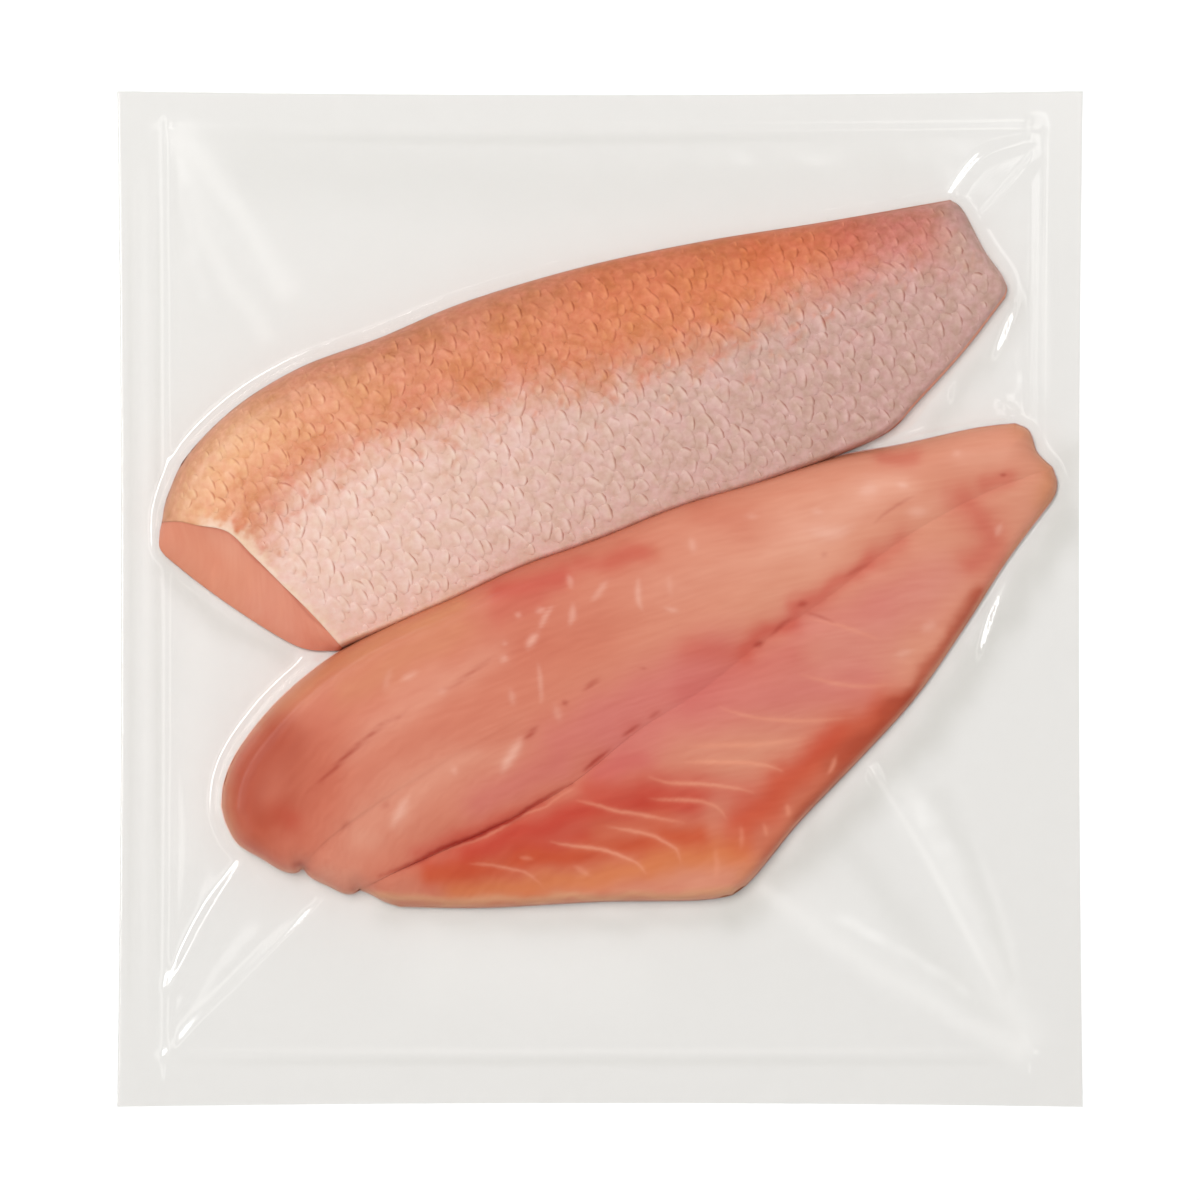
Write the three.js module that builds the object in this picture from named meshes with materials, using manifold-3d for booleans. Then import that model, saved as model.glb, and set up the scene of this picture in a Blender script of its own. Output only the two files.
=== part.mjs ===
// A clear vacuum pouch with two red snapper fillets in it, lying flat on a table.
// Millimetres, +Z up. The origin is the middle of the pouch's flat underside, +Y is towards its top edge.
// The upper fillet lies skin side up and the lower one flesh side up, with the film drawn down tight over both.
// The film clings to what it holds and leaves no gap, so they are one closed solid: the outer form.
import * as THREE from "three";
import { mergeVertices } from "three/addons/utils/BufferGeometryUtils.js";
import Module from "manifold-3d";

const wasm = await Module();
wasm.setup();

// ---- Driving dimensions: the pouch ----
const pouchWidth = 251;
const pouchHeight = 264;
const sheetThickness = 0.5; // two films laid together, with a little air
const edgeBow = 1; // how far the vacuum draws in the middle of each side
const sealInset = 11.5; // from the pouch's edge to the inner line of the heat seal
const sealBeadWidth = 1.6;
const sealBeadHeight = 0.4;
const hub = { x: 0, y: 7.5 }; // every part of the fillets' outline can be seen from here
const pointsPerSide = 42;

// ---- Driving dimensions: the film round the fillets ----
const touchInset = 3; // the film leaves a fillet's top this far in from its outline
const outlineShare = 0.6; // its height over the outline, as a share of the height where it leaves
const webWidth = 8; // from the outline to where the film comes down to the flat sheet
const webPart = 0.6; // the most of the way to the seal that this may take up
const tuckInset = 6; // further in than this the film's own surface runs hidden inside the fillets
const valleyHeight = 6; // film that bridges the valley between the two fillets
const sealClearance = 4; // the seal bends out round a fillet that reaches it

// ---- Driving dimensions: the fillets ----
// A crest is a place on the way from back to belly, and a fall is the share of its height lost by an edge.
const fishGap = 0.5; // between the two, where they lie side by side
const rootHeight = 0.2; // the fillets' undersides lie this high, inside the sheet
const leastWall = 0.15;
const cutFootHeight = 1; // thickness left at the foot of the slanting cut
const skinUpForm = {
  head: 17, tail: 8, crest: 0.4, backFall: 0.35, bellyFall: 0.5, backRound: 9, bellyRound: 3,
};
const loinForm = { head: 15, peak: 20, peakAt: 0.25, tail: 8, crest: 0.42, backFall: 0.15, backRound: 10 };
const bellyForm = { seamShare: 0.78, edgeShare: 0.42, edgeRound: 4 }; // shares of the loin's height
const seamDepth = 1.6; // the groove along the pin-bone line
const seamHalfWidth = 0.12; // as a share of the loin's or the belly's width

// ---- Small helpers ----
const { lerp: mix, clamp, smoothstep } = THREE.MathUtils;
// Shares of a width that close up towards both edges, where a surface turns down.
const crowded = (i, n) => (1 - Math.cos((Math.PI * i) / n)) / 2;
const bell = (x, middle, width) => Math.exp(-(((x - middle) / width) ** 2));
// A quarter round: 0 at the outline, 1 from one radius inwards.
const rounded = (distance, radius) => Math.sqrt(1 - (1 - clamp(distance / radius, 0, 1)) ** 2);
const curve = (points) =>
  new THREE.CatmullRomCurve3(points.map(([x, y]) => new THREE.Vector3(x, y, 0)), false, "centripetal");

// ---- The fillets' outlines, from head end to tail end or from back to belly ----
const fleshUp = {
  back: curve([
    [-98.3, -53.8], [-97.8, -48.4], [-95.7, -42.4], [-91.8, -36.1], [-82.7, -25.5], [-68.1, -13.8],
    [-52, -5.2], [-36.4, 1.8], [-20.8, 9.1], [0, 16.6], [20.8, 25], [41.6, 31.2], [62.4, 37.2],
    [78, 40], [98.8, 44.5], [107.9, 45.5],
  ]),
  // the pin-bone line, where the loin meets the belly
  seam: curve([
    [-62.4, -75.4], [-52, -70.2], [-36.4, -63.2], [-20.8, -55.6], [-6.5, -47.1], [10.4, -33.5],
    [26, -23.7], [41.6, -11.4], [59.8, 1], [78, 15.3], [98.8, 27], [117.5, 34.1],
  ]),
  belly: curve([
    [-52, -79.8], [-31.2, -80.1], [0, -78.5], [29.9, -77.7], [35.9, -75.9], [52, -57.5],
    [67.6, -41.3], [81.9, -25.5], [94.9, -6.8], [106.1, 10.7], [117, 25.2],
  ]),
  headLoin: curve([
    [-98.3, -53.8], [-97.2, -58], [-94.1, -63.4], [-87.9, -67.3], [-81.9, -70.7], [-78.8, -71],
    [-77.2, -69.9], [-75.4, -72], [-70.2, -74.6], [-66.3, -76.4], [-64, -76.4], [-62.4, -75.4],
  ]),
  headBelly: curve([[-62.4, -75.4], [-59.3, -76.7], [-55.9, -78.5], [-52, -79.8]]),
  tailLoin: curve([[107.9, 45.5], [111.3, 43.7], [113.4, 38.2], [116, 35.4], [117.5, 34.1]]),
  tailBelly: curve([[117.5, 34.1], [118.6, 30.4], [118.3, 27.6], [117, 25.2]]),
};

// The skin-up fillet's belly edge follows its neighbour's back, a gap away, and then runs free to its tail.
function edgeBesideNeighbour() {
  const leaves = 0.79; // the share of the neighbour's back at which the two part
  const meets = 0.185;
  const steps = 12;
  const beside = [];
  for (let i = 0; i <= steps; i++) {
    const at = mix(meets, leaves, i / steps);
    const here = fleshUp.back.getPointAt(at);
    const along = fleshUp.back.getTangentAt(at);
    beside.push([here.x - along.y * fishGap, here.y + along.x * fishGap]);
  }
  return curve([...beside, [75.4, 43.7], [81.9, 50.4], [94.9, 64.7], [105.3, 78.3]]);
}

const skinBelly = edgeBesideNeighbour();
const skinCorner = skinBelly.getPoint(0);
const skinUp = {
  back: curve([
    [-113.9, 19.8], [-113.1, 24.4], [-111.3, 29.6], [-108.7, 35.1], [-104, 41.1], [-93.6, 50.7],
    [-78, 60.1], [-57.2, 67.9], [-36.4, 76.7], [-5.2, 86.1], [26, 92.8], [57.2, 97.8], [91, 103.7],
  ]),
  belly: skinBelly,
  // the skin's edge at the head end, and the foot of the slanting cut below it
  headSkin: curve([
    [-113.9, 19.8], [-109.2, 20], [-104, 19], [-96.2, 17.4], [-89.7, 11.4], [-81.9, 4.4],
    [-74.1, -4.7], [skinCorner.x, skinCorner.y],
  ]),
  cutFoot: curve([
    [-114.4, 17.6], [-114.3, 13.1], [-109.2, 8.1], [-93.6, -3.4], [-79.3, -12], [-74.9, -13.3],
    [skinCorner.x - 0.8, skinCorner.y - 0.8],
  ]),
  tail: curve([[91, 103.7], [93.6, 101.9], [100.1, 90.2], [104.8, 83.5], [105.8, 80.6], [105.3, 78.3]]),
};

// ---- Outlines as closed rings of points ----
function ringOf(...paths) {
  const samples = 48;
  return paths.flatMap(([path, backwards]) => {
    const points = path.getSpacedPoints(samples);
    if (backwards) points.reverse();
    return points.slice(0, -1);
  });
}

const skinUpRing = ringOf(
  [skinUp.cutFoot, false], [skinUp.belly, false], [skinUp.tail, true], [skinUp.back, true],
);
const skinOnlyRing = ringOf(
  [skinUp.headSkin, false], [skinUp.belly, false], [skinUp.tail, true], [skinUp.back, true],
);
const fleshUpRing = ringOf(
  [fleshUp.headLoin, false], [fleshUp.headBelly, false], [fleshUp.belly, false],
  [fleshUp.tailBelly, true], [fleshUp.tailLoin, true], [fleshUp.back, true],
);

function distanceTo(ring, x, y) {
  let least = Infinity;
  ring.forEach((a, i) => {
    const b = ring[(i + 1) % ring.length];
    const dx = b.x - a.x;
    const dy = b.y - a.y;
    const share = clamp(((x - a.x) * dx + (y - a.y) * dy) / (dx * dx + dy * dy || 1), 0, 1);
    least = Math.min(least, Math.hypot(x - a.x - share * dx, y - a.y - share * dy));
  });
  return least;
}

// How far a ray from the hub runs before it leaves a ring for the last time.
function lastCrossing(ring, dirX, dirY) {
  let furthest = 0;
  ring.forEach((a, i) => {
    const b = ring[(i + 1) % ring.length];
    const ex = b.x - a.x;
    const ey = b.y - a.y;
    const cross = dirX * ey - dirY * ex;
    if (Math.abs(cross) < 1e-9) return;
    const ax = a.x - hub.x;
    const ay = a.y - hub.y;
    const along = (ax * ey - ay * ex) / cross;
    const share = (ax * dirY - ay * dirX) / cross;
    if (share >= 0 && share <= 1 && along > furthest) furthest = along;
  });
  return furthest;
}

// ---- Solids from grids of points ----
function toSolid(positions, triangles) {
  const geometry = new THREE.BufferGeometry()
    .setAttribute("position", new THREE.Float32BufferAttribute(positions, 3))
    .setIndex(triangles);
  const merged = mergeVertices(geometry, 1e-4);
  return new wasm.Manifold(
    new wasm.Mesh({
      numProp: 3,
      vertProperties: merged.getAttribute("position").array,
      triVerts: new Uint32Array(merged.index.array),
    }),
  );
}

// The closed solid below a grid of top points: rows run from head to tail and columns from back to belly.
function solidBelow(grid) {
  const rows = grid.length;
  const columns = grid[0].length;
  const tops = grid.flat();
  const positions = [
    ...tops.flatMap((p) => [p.x, p.y, Math.max(p.z, rootHeight + leastWall)]),
    ...tops.flatMap((p) => [p.x, p.y, rootHeight]),
  ];
  const top = (i, j) => i * columns + j;
  const under = (i, j) => (rows + i) * columns + j;
  const triangles = [];
  for (let i = 0; i < rows - 1; i++) {
    for (let j = 0; j < columns - 1; j++) {
      triangles.push(top(i, j), top(i, j + 1), top(i + 1, j + 1));
      triangles.push(top(i, j), top(i + 1, j + 1), top(i + 1, j));
      triangles.push(under(i, j), under(i + 1, j + 1), under(i, j + 1));
      triangles.push(under(i, j), under(i + 1, j), under(i + 1, j + 1));
    }
  }
  const rim = [];
  for (let j = 0; j < columns - 1; j++) rim.push([0, j]);
  for (let i = 0; i < rows - 1; i++) rim.push([i, columns - 1]);
  for (let j = columns - 1; j > 0; j--) rim.push([rows - 1, j]);
  for (let i = rows - 1; i > 0; i--) rim.push([i, 0]);
  rim.forEach((a, k) => {
    const b = rim[(k + 1) % rim.length];
    triangles.push(top(...b), top(...a), under(...a), top(...b), under(...a), under(...b));
  });
  return toSolid(positions, triangles);
}

// A point of the four-sided patch between two long curves and the two that close its ends.
function patchPoint(first, last, start, end, u, v) {
  const startBulge = start.getPointAt(v).sub(first.getPointAt(0).lerp(last.getPointAt(0), v));
  const endBulge = end.getPointAt(v).sub(first.getPointAt(1).lerp(last.getPointAt(1), v));
  return first.getPointAt(u).lerp(last.getPointAt(u), v)
    .addScaledVector(startBulge, 1 - u).addScaledVector(endBulge, u);
}

// ---- The fillet that lies skin side up: a dome, thick at its head end, with a slanting cut below the skin ----
// The share of the height lost at v, from none at the crest to all of a fall at either edge.
function fallFrom(crest, v, towardsBack, towardsBelly) {
  return v < crest
    ? towardsBack * ((crest - v) / crest) ** 2
    : towardsBelly * ((v - crest) / (1 - crest)) ** 2;
}

function skinUpHeight(u, v, x, y) {
  const { head, tail, crest, backFall, bellyFall, backRound, bellyRound } = skinUpForm;
  const along = mix(head, tail, smoothstep(u, 0.15, 1.1)) * mix(0.9, 1, smoothstep(u, 0, 0.15));
  const round = mix(backRound, bellyRound, smoothstep(v, 0.35, 0.9));
  return along * (1 - fallFrom(crest, v, backFall, bellyFall)) * rounded(distanceTo(skinUpRing, x, y), round);
}

function skinUpGrid(rows = 34, columns = 18) {
  const { back, belly, headSkin, cutFoot, tail } = skinUp;
  const shares = Array.from({ length: columns + 1 }, (_, j) => crowded(j, columns));
  const foot = shares.map((v) => cutFoot.getPointAt(v).setZ(rootHeight + cutFootHeight));
  const body = Array.from({ length: rows + 1 }, (_, i) => {
    const u = (i / rows) ** 1.1;
    return shares.map((v) => {
      const p = patchPoint(back, belly, headSkin, tail, u, v);
      return p.setZ(skinUpHeight(u, v, p.x, p.y));
    });
  });
  return [foot, ...body];
}

// ---- The fillet that lies flesh side up: a round loin, a groove along the pin bones and a thin belly ----
function loinHeight(u) {
  const { head, peak, peakAt, tail } = loinForm;
  return u < peakAt ? mix(head, peak, smoothstep(u, 0, peakAt)) : mix(peak, tail, smoothstep(u, peakAt, 1.05));
}

function fleshUpHeight(u, v, onLoin, x, y) {
  const { crest, backFall, backRound } = loinForm;
  const { seamShare, edgeShare, edgeRound } = bellyForm;
  const share = onLoin
    ? 1 - fallFrom(crest, v, backFall, 1 - seamShare)
    : mix(seamShare, edgeShare, smoothstep(v, 0, 1));
  const groove = seamDepth * bell(onLoin ? 1 - v : v, 0, seamHalfWidth);
  const round = onLoin ? backRound : mix(backRound, edgeRound, smoothstep(v, 0, 0.5));
  return (loinHeight(u) * share - groove) * rounded(distanceTo(fleshUpRing, x, y), round);
}

function fleshUpGrid(rows = 44, loinColumns = 14, bellyColumns = 11) {
  const { back, seam, belly, headLoin, headBelly, tailLoin, tailBelly } = fleshUp;
  return Array.from({ length: rows + 1 }, (_, i) => {
    const u = i / rows;
    const row = [];
    for (let j = 0; j < loinColumns; j++) {
      const v = crowded(j, loinColumns);
      const p = patchPoint(back, seam, headLoin, tailLoin, u, v);
      row.push(p.setZ(fleshUpHeight(u, v, true, p.x, p.y)));
    }
    for (let j = 0; j <= bellyColumns; j++) {
      const v = crowded(j, bellyColumns);
      const p = patchPoint(seam, belly, headBelly, tailBelly, u, v);
      row.push(p.setZ(fleshUpHeight(u, v, false, p.x, p.y)));
    }
    return row;
  });
}

// ---- The pouch: a flat sheet with a seal round it, rising in a web to the fillets' sides ----
// The sides, in the order right, top, left and bottom, with their points closing up towards the corners.
function pouchRim() {
  const halfX = pouchWidth / 2;
  const halfY = pouchHeight / 2;
  const corners = [[halfX, -halfY], [halfX, halfY], [-halfX, halfY], [-halfX, -halfY]];
  return corners.flatMap(([fromX, fromY], side) => {
    const [toX, toY] = corners[(side + 1) % corners.length];
    const upright = side % 2 === 0;
    return Array.from({ length: pointsPerSide }, (_, i) => {
      const share = mix(i / pointsPerSide, crowded(i, pointsPerSide), 0.5);
      const drawnIn = 1 - (edgeBow / (upright ? halfX : halfY)) * 4 * share * (1 - share);
      const x = mix(fromX, toX, share) * (upright ? drawnIn : 1);
      const y = mix(fromY, toY, share) * (upright ? 1 : drawnIn);
      return { x, y };
    });
  });
}

function wayToRectangle(dirX, dirY, halfX, halfY) {
  const toSide = (Math.sign(dirX) * halfX - hub.x) / dirX;
  const toEnd = (Math.sign(dirY) * halfY - hub.y) / dirY;
  return Math.min(dirX ? toSide : Infinity, dirY ? toEnd : Infinity);
}

// The fillets' height at a place: the mean over their grids' points, with the nearest ones counting most.
function fishHeight(points, x, y) {
  let height = 0;
  let weights = 0;
  for (const p of points) {
    const weight = 1 / ((p.x - x) ** 2 + (p.y - y) ** 2 + 0.01) ** 2;
    height += weight * p.z;
    weights += weight;
  }
  return height / weights;
}

// How far each ray from the hub runs to the fillets' outline, the seal and the rim.
// Its touch is the height at which the film leaves the fillets, above the flat sheet.
function pouchRays(fishPoints) {
  const rays = pouchRim().map(({ x, y }) => {
    const reach = Math.hypot(x - hub.x, y - hub.y);
    const dirX = (x - hub.x) / reach;
    const dirY = (y - hub.y) / reach;
    const leaves = Math.max(lastCrossing(skinUpRing, dirX, dirY), lastCrossing(fleshUpRing, dirX, dirY));
    const straightSeal = wayToRectangle(dirX, dirY, pouchWidth / 2 - sealInset, pouchHeight / 2 - sealInset);
    const seal = Math.max(straightSeal, leaves + sealClearance);
    const touchAt = leaves - touchInset;
    const touch = fishHeight(fishPoints, hub.x + dirX * touchAt, hub.y + dirY * touchAt) - sheetThickness;
    return { dirX, dirY, reach, leaves, seal, touch };
  });
  return rays.map((ray, i) => {
    const before = rays[(i + rays.length - 1) % rays.length];
    const after = rays[(i + 1) % rays.length];
    return { ...ray, touch: (before.touch + 2 * ray.touch + after.touch) / 4 };
  });
}

// Places along a ray from the hub, each with the film's height above the flat sheet.
function rayStops({ reach, leaves, seal, touch }) {
  const bead = sealBeadWidth / 2;
  const foot = leaves + Math.min(webWidth, webPart * (seal - bead - leaves));
  const over = outlineShare * touch;
  const hanging = [0.15, 0.32, 0.55, 0.78].map((share) => [mix(leaves, foot, share), over * (1 - share) ** 2]);
  return [
    [leaves / 2, valleyHeight], [leaves - tuckInset, over], [leaves - touchInset, touch], [leaves, over],
    ...hanging, [foot, 0], [seal - bead, 0], [seal, sealBeadHeight], [seal + bead, 0], [reach, 0],
  ];
}

function pouchSolid(fishPoints) {
  const rays = pouchRays(fishPoints);
  const positions = [hub.x, hub.y, sheetThickness + valleyHeight, hub.x, hub.y, 0];
  const stops = rays.map(rayStops);
  const rings = stops[0].length;
  rays.forEach(({ dirX, dirY, reach }, i) => {
    for (const [way, lift] of stops[i]) {
      positions.push(hub.x + dirX * way, hub.y + dirY * way, sheetThickness + lift);
    }
    positions.push(hub.x + dirX * reach, hub.y + dirY * reach, 0);
  });
  const at = (i, ring) => 2 + (i % rays.length) * (rings + 1) + ring;
  const triangles = [];
  for (let i = 0; i < rays.length; i++) {
    triangles.push(0, at(i, 0), at(i + 1, 0), 1, at(i + 1, rings), at(i, rings));
    for (let ring = 0; ring < rings; ring++) {
      triangles.push(at(i, ring), at(i, ring + 1), at(i + 1, ring + 1));
      triangles.push(at(i, ring), at(i + 1, ring + 1), at(i + 1, ring));
    }
  }
  return toSolid(positions, triangles);
}

// ---- Creases that run from the pouch's corners to the fillets, each from its corner end ----
const creases = [
  // bottom left
  { path: [[-112, -102], [-103, -84], [-92.5, -67.5]], width: 5, height: 2 },
  { path: [[-110, -117], [-92, -99], [-71.2, -78.5]], width: 4, height: 1.5 },
  { path: [[-112.3, -118.8], [-98, -103], [-79.3, -83.7]], width: 3, height: 1 },
  // bottom right
  { path: [[111.8, -118.6], [104, -91.3], [85.8, -60], [71.5, -43.2]], width: 7, height: 1.8 },
  { path: [[110.5, -119], [93.6, -106.9], [70.2, -91.3], [50, -78]], width: 5, height: 1.2 },
  { path: [[111.8, -93.3], [107.6, -66.8], [99.6, -48.4], [88, -33]], width: 4, height: 1.2 },
  { path: [[109.2, 11.4], [104.8, -1.6], [99, -18]], width: 3.5, height: 1.5 },
  // top left
  { path: [[-110, 116], [-105, 112.6], [-85.3, 86.6], [-80.9, 64]], width: 5, height: 1.3 },
  { path: [[-107.6, 119], [-88, 104], [-62, 72]], width: 6, height: 1.1 },
  // top right
  { path: [[111, 119], [100.1, 115], [91, 104]], width: 4, height: 1.6 },
  { path: [[113, 115], [103, 103], [96, 96]], width: 3, height: 1.2 },
  { path: [[110, 79], [108, 70.2], [103, 62]], width: 3, height: 1.2 },
];

function creaseSolid({ path, width, height }) {
  const steps = 12;
  const line = curve(path);
  const grid = Array.from({ length: steps + 1 }, (_, i) => {
    const share = i / steps;
    const middle = line.getPointAt(share);
    const along = line.getTangentAt(share);
    const swell = Math.sqrt(Math.sin(Math.PI * mix(0.05, 0.95, share)));
    return [-1, -0.5, 0, 0.5, 1].map((side) => {
      const aside = (side * swell * width) / 2;
      const z = sheetThickness + height * swell * mix(0.5, 1, share);
      return new THREE.Vector3(middle.x + along.y * aside, middle.y - along.x * aside, z * (1 - side * side));
    });
  });
  return solidBelow(grid);
}

// ---- The whole, joined, and coloured by what lies under the film ----
const colours = { film: "#e8e7e3", skinBack: "#e08a62", skinBelly: "#dfb9b1", flesh: "#dd8268" };
const backBand = { from: 14, to: 34 }; // the orange of the back fades this far in from it

const backPoints = skinUp.back.getSpacedPoints(40);

function insideRing(ring, x, y) {
  return ring.reduce((inside, a, i) => {
    const b = ring[(i + 1) % ring.length];
    const crosses = a.y > y !== b.y > y && x < a.x + ((y - a.y) / (b.y - a.y)) * (b.x - a.x);
    return crosses ? !inside : inside;
  }, false);
}

function colourAt(x, y) {
  if (insideRing(fleshUpRing, x, y)) return new THREE.Color(colours.flesh);
  if (!insideRing(skinUpRing, x, y)) return new THREE.Color(colours.film);
  if (!insideRing(skinOnlyRing, x, y)) return new THREE.Color(colours.flesh);
  const faded = smoothstep(distanceTo(backPoints, x, y), backBand.from, backBand.to);
  return new THREE.Color(colours.skinBack).lerp(new THREE.Color(colours.skinBelly), faded);
}

function meshOf(solid, name) {
  const { numProp, vertProperties, triVerts } = solid.getMesh();
  const geometry = new THREE.BufferGeometry();
  const vertices = vertProperties.length / numProp;
  const positions = new Float32Array(vertices * 3);
  const tints = new Float32Array(vertices * 3);
  for (let i = 0; i < vertices; i++) {
    positions.set(vertProperties.subarray(i * numProp, i * numProp + 3), i * 3);
    colourAt(positions[i * 3], positions[i * 3 + 1]).toArray(tints, i * 3);
  }
  geometry.setAttribute("position", new THREE.BufferAttribute(positions, 3));
  geometry.setAttribute("color", new THREE.BufferAttribute(tints, 3));
  geometry.setIndex(new THREE.BufferAttribute(triVerts, 1));
  geometry.computeVertexNormals();
  const material = new THREE.MeshStandardMaterial({ vertexColors: true, roughness: 0.25, metalness: 0 });
  const mesh = new THREE.Mesh(geometry, material);
  mesh.name = name;
  return mesh;
}

const skinUpPoints = skinUpGrid();
const fleshUpPoints = fleshUpGrid();
const pack = [
  pouchSolid([...skinUpPoints.flat(), ...fleshUpPoints.flat()]),
  solidBelow(skinUpPoints),
  solidBelow(fleshUpPoints),
  ...creases.map(creaseSolid),
].reduce((joined, solid) => joined.add(solid));

const group = new THREE.Group();
group.add(meshOf(pack, "vacuum_pack"));
export default group;
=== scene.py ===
# %% [markdown]
# # A vacuum pouch with two red snapper fillets
# Two sides of a red snapper lie in a clear pouch. The upper one shows its skin and the lower one its flesh.
# The air has been drawn out, so that the film is pulled down tight over both. We look at it from straight
# above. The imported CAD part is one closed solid, the outer form of the whole. Here it is replaced by what it
# is really made of: flesh, skin, the small pockets that the scales sat in, and the film.

import bpy
import numpy as np
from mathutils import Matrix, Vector
from mathutils.bvhtree import BVHTree


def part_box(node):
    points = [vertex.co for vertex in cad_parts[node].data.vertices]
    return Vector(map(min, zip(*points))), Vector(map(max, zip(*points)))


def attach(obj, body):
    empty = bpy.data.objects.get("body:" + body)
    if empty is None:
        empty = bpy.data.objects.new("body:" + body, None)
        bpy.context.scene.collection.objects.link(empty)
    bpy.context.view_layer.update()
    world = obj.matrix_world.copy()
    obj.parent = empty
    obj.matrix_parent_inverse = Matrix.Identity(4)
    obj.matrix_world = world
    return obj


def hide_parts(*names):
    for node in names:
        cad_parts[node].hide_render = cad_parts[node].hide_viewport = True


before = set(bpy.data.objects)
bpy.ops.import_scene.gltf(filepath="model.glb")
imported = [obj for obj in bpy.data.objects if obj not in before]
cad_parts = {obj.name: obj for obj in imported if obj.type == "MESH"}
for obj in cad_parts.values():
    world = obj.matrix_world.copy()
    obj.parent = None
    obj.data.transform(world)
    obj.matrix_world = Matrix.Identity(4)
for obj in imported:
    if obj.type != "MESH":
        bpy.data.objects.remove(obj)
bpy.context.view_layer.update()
PACK = "vacuum_pack"
MM = 0.001  # sizes below are in millimetres, and a mesh is made in metres
HIGH = 100 * MM  # rays start from here, well above the pack, and go straight down
DOWN = (0, 0, -1)
low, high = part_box(PACK)
print("CAD pack in mm:", [round(side / MM, 1) for side in high - low])

# %% [markdown]
# ## Small helpers
# Every form here is a rule on places in the plane, worked out for a whole grid of points at once with numpy.
# These few functions fade, round and bend such values.

# %% Helpers that fade and round
def mix(a, b, share):
    return a + (b - a) * share


def smoothstep(x, start, end):
    share = np.clip((x - start) / (end - start), 0, 1)
    return share * share * (3 - 2 * share)


def bell(x, width):
    return np.exp(-((x / width) ** 2))


def rounded(distance, radius, flatness=2.0):
    """A soft shoulder: 0 at an edge, 1 from one radius inwards. A higher flatness stands up more steeply."""
    return np.sqrt(1 - (1 - np.clip(distance / radius, 0, 1)) ** flatness)


def crowded(count, share=1.0):
    """Shares from 0 to 1 that close up towards both ends, where a surface turns down."""
    even = np.arange(count + 1) / count
    return mix(even, (1 - np.cos(np.pi * even)) / 2, share)


def swell(places, size, seed, waves=6):
    """Soft uneven waves of about the given size, from -1 to 1, the same on every run."""
    draw = np.random.default_rng(seed)
    ranges = ((0, np.pi), (0, 2 * np.pi), (0.7, 1.5))
    angles, phases, stretches = (draw.uniform(*ends, waves) for ends in ranges)
    total = np.zeros(len(places))
    for angle, phase, stretch in zip(angles, phases, stretches):
        way = places @ np.array([np.cos(angle), np.sin(angle)])
        total += np.sin(way * 2 * np.pi * stretch / size + phase)
    return total / waves


print("helpers ready")

# %% [markdown]
# ## Smooth lines
# A fillet's outline is a few given points with a smooth curve through them. The CAD part uses the same
# points and the same kind of curve (centripetal Catmull-Rom), so the two agree.

# %% A smooth line through a few points
class Line:
    """A smooth line in the plane, read by the share of its length."""

    def __init__(self, points, per_span=24):
        given = np.array(points, float)
        given = np.vstack([2 * given[0] - given[1], given, 2 * given[-1] - given[-2]])
        spans = [self.span(*given[i:i + 4], per_span) for i in range(len(given) - 3)]
        self.points = np.vstack([*spans, given[-2]])
        steps = np.linalg.norm(np.diff(self.points, axis=0), axis=1)
        self.ways = np.concatenate([[0], np.cumsum(steps)])

    @staticmethod
    def span(a, b, c, d, count):
        ta, tb = 0, np.linalg.norm(b - a) ** 0.5
        tc = tb + np.linalg.norm(c - b) ** 0.5
        td = tc + np.linalg.norm(d - c) ** 0.5
        t = np.linspace(tb, tc, count, endpoint=False)[:, None]
        ab = mix(a, b, (t - ta) / (tb - ta))
        bc = mix(b, c, (t - tb) / (tc - tb))
        cd = mix(c, d, (t - tc) / (td - tc))
        early = mix(ab, bc, (t - ta) / (tc - ta))
        late = mix(bc, cd, (t - tb) / (td - tb))
        return mix(early, late, (t - tb) / (tc - tb))

    def at(self, share):
        way = np.asarray(share, float) * self.ways[-1]
        return np.stack([np.interp(way, self.ways, self.points[:, k]) for k in (0, 1)], axis=-1)


def to_line(line, places):
    """How far each place is from a line, and where along it the nearest point is, from 0 to 1."""
    count = max(2, min(40, int(line.ways[-1] / 2) + 2))
    corners = line.at(np.linspace(0, 1, count))
    nearest = np.full(len(places), np.inf)
    along = np.zeros(len(places))
    for i, (a, b) in enumerate(zip(corners, corners[1:])):
        step = b - a
        share = np.clip((places - a) @ step / (step @ step), 0, 1)
        far = np.linalg.norm(places - a - share[:, None] * step, axis=1)
        closer = far < nearest
        nearest = np.where(closer, far, nearest)
        along = np.where(closer, (i + share) / (count - 1), along)
    return nearest, along


print("a line of", len(Line([(0, 0), (10, 5), (20, 0)]).points), "points")

# %% [markdown]
# ## The outlines of the fillets
# The flesh-up fillet is two muscles that meet along the pin-bone line: the thick loin on the side of the back
# and the thin belly. The skin-up fillet lies against its back, and its head end is cut off at a slant, so
# that flesh shows below the edge of the skin.

# %% Outlines in millimetres, from the middle of the pouch
PRESSED = 1.6  # the skin-up fillet's soft belly edge is pressed this far over its neighbour's back
TOUCHES = (0.225, 0.29, 0.7, 0.79)  # from where to where along that back, and where it is fully pressed
flesh_back = Line([
    (-98.3, -53.8), (-97.8, -48.4), (-95.7, -42.4), (-91.8, -36.1), (-82.7, -25.5), (-68.1, -13.8),
    (-52, -5.2), (-36.4, 1.8), (-20.8, 9.1), (0, 16.6), (20.8, 25), (41.6, 31.2), (62.4, 37.2),
    (78, 40), (98.8, 44.5), (107.9, 45.5),
])
seam = Line([
    (-62.4, -75.4), (-52, -70.2), (-36.4, -63.2), (-20.8, -55.6), (-6.5, -47.1), (10.4, -33.5),
    (26, -23.7), (41.6, -11.4), (59.8, 1), (78, 15.3), (98.8, 27), (117.5, 34.1),
])
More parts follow.
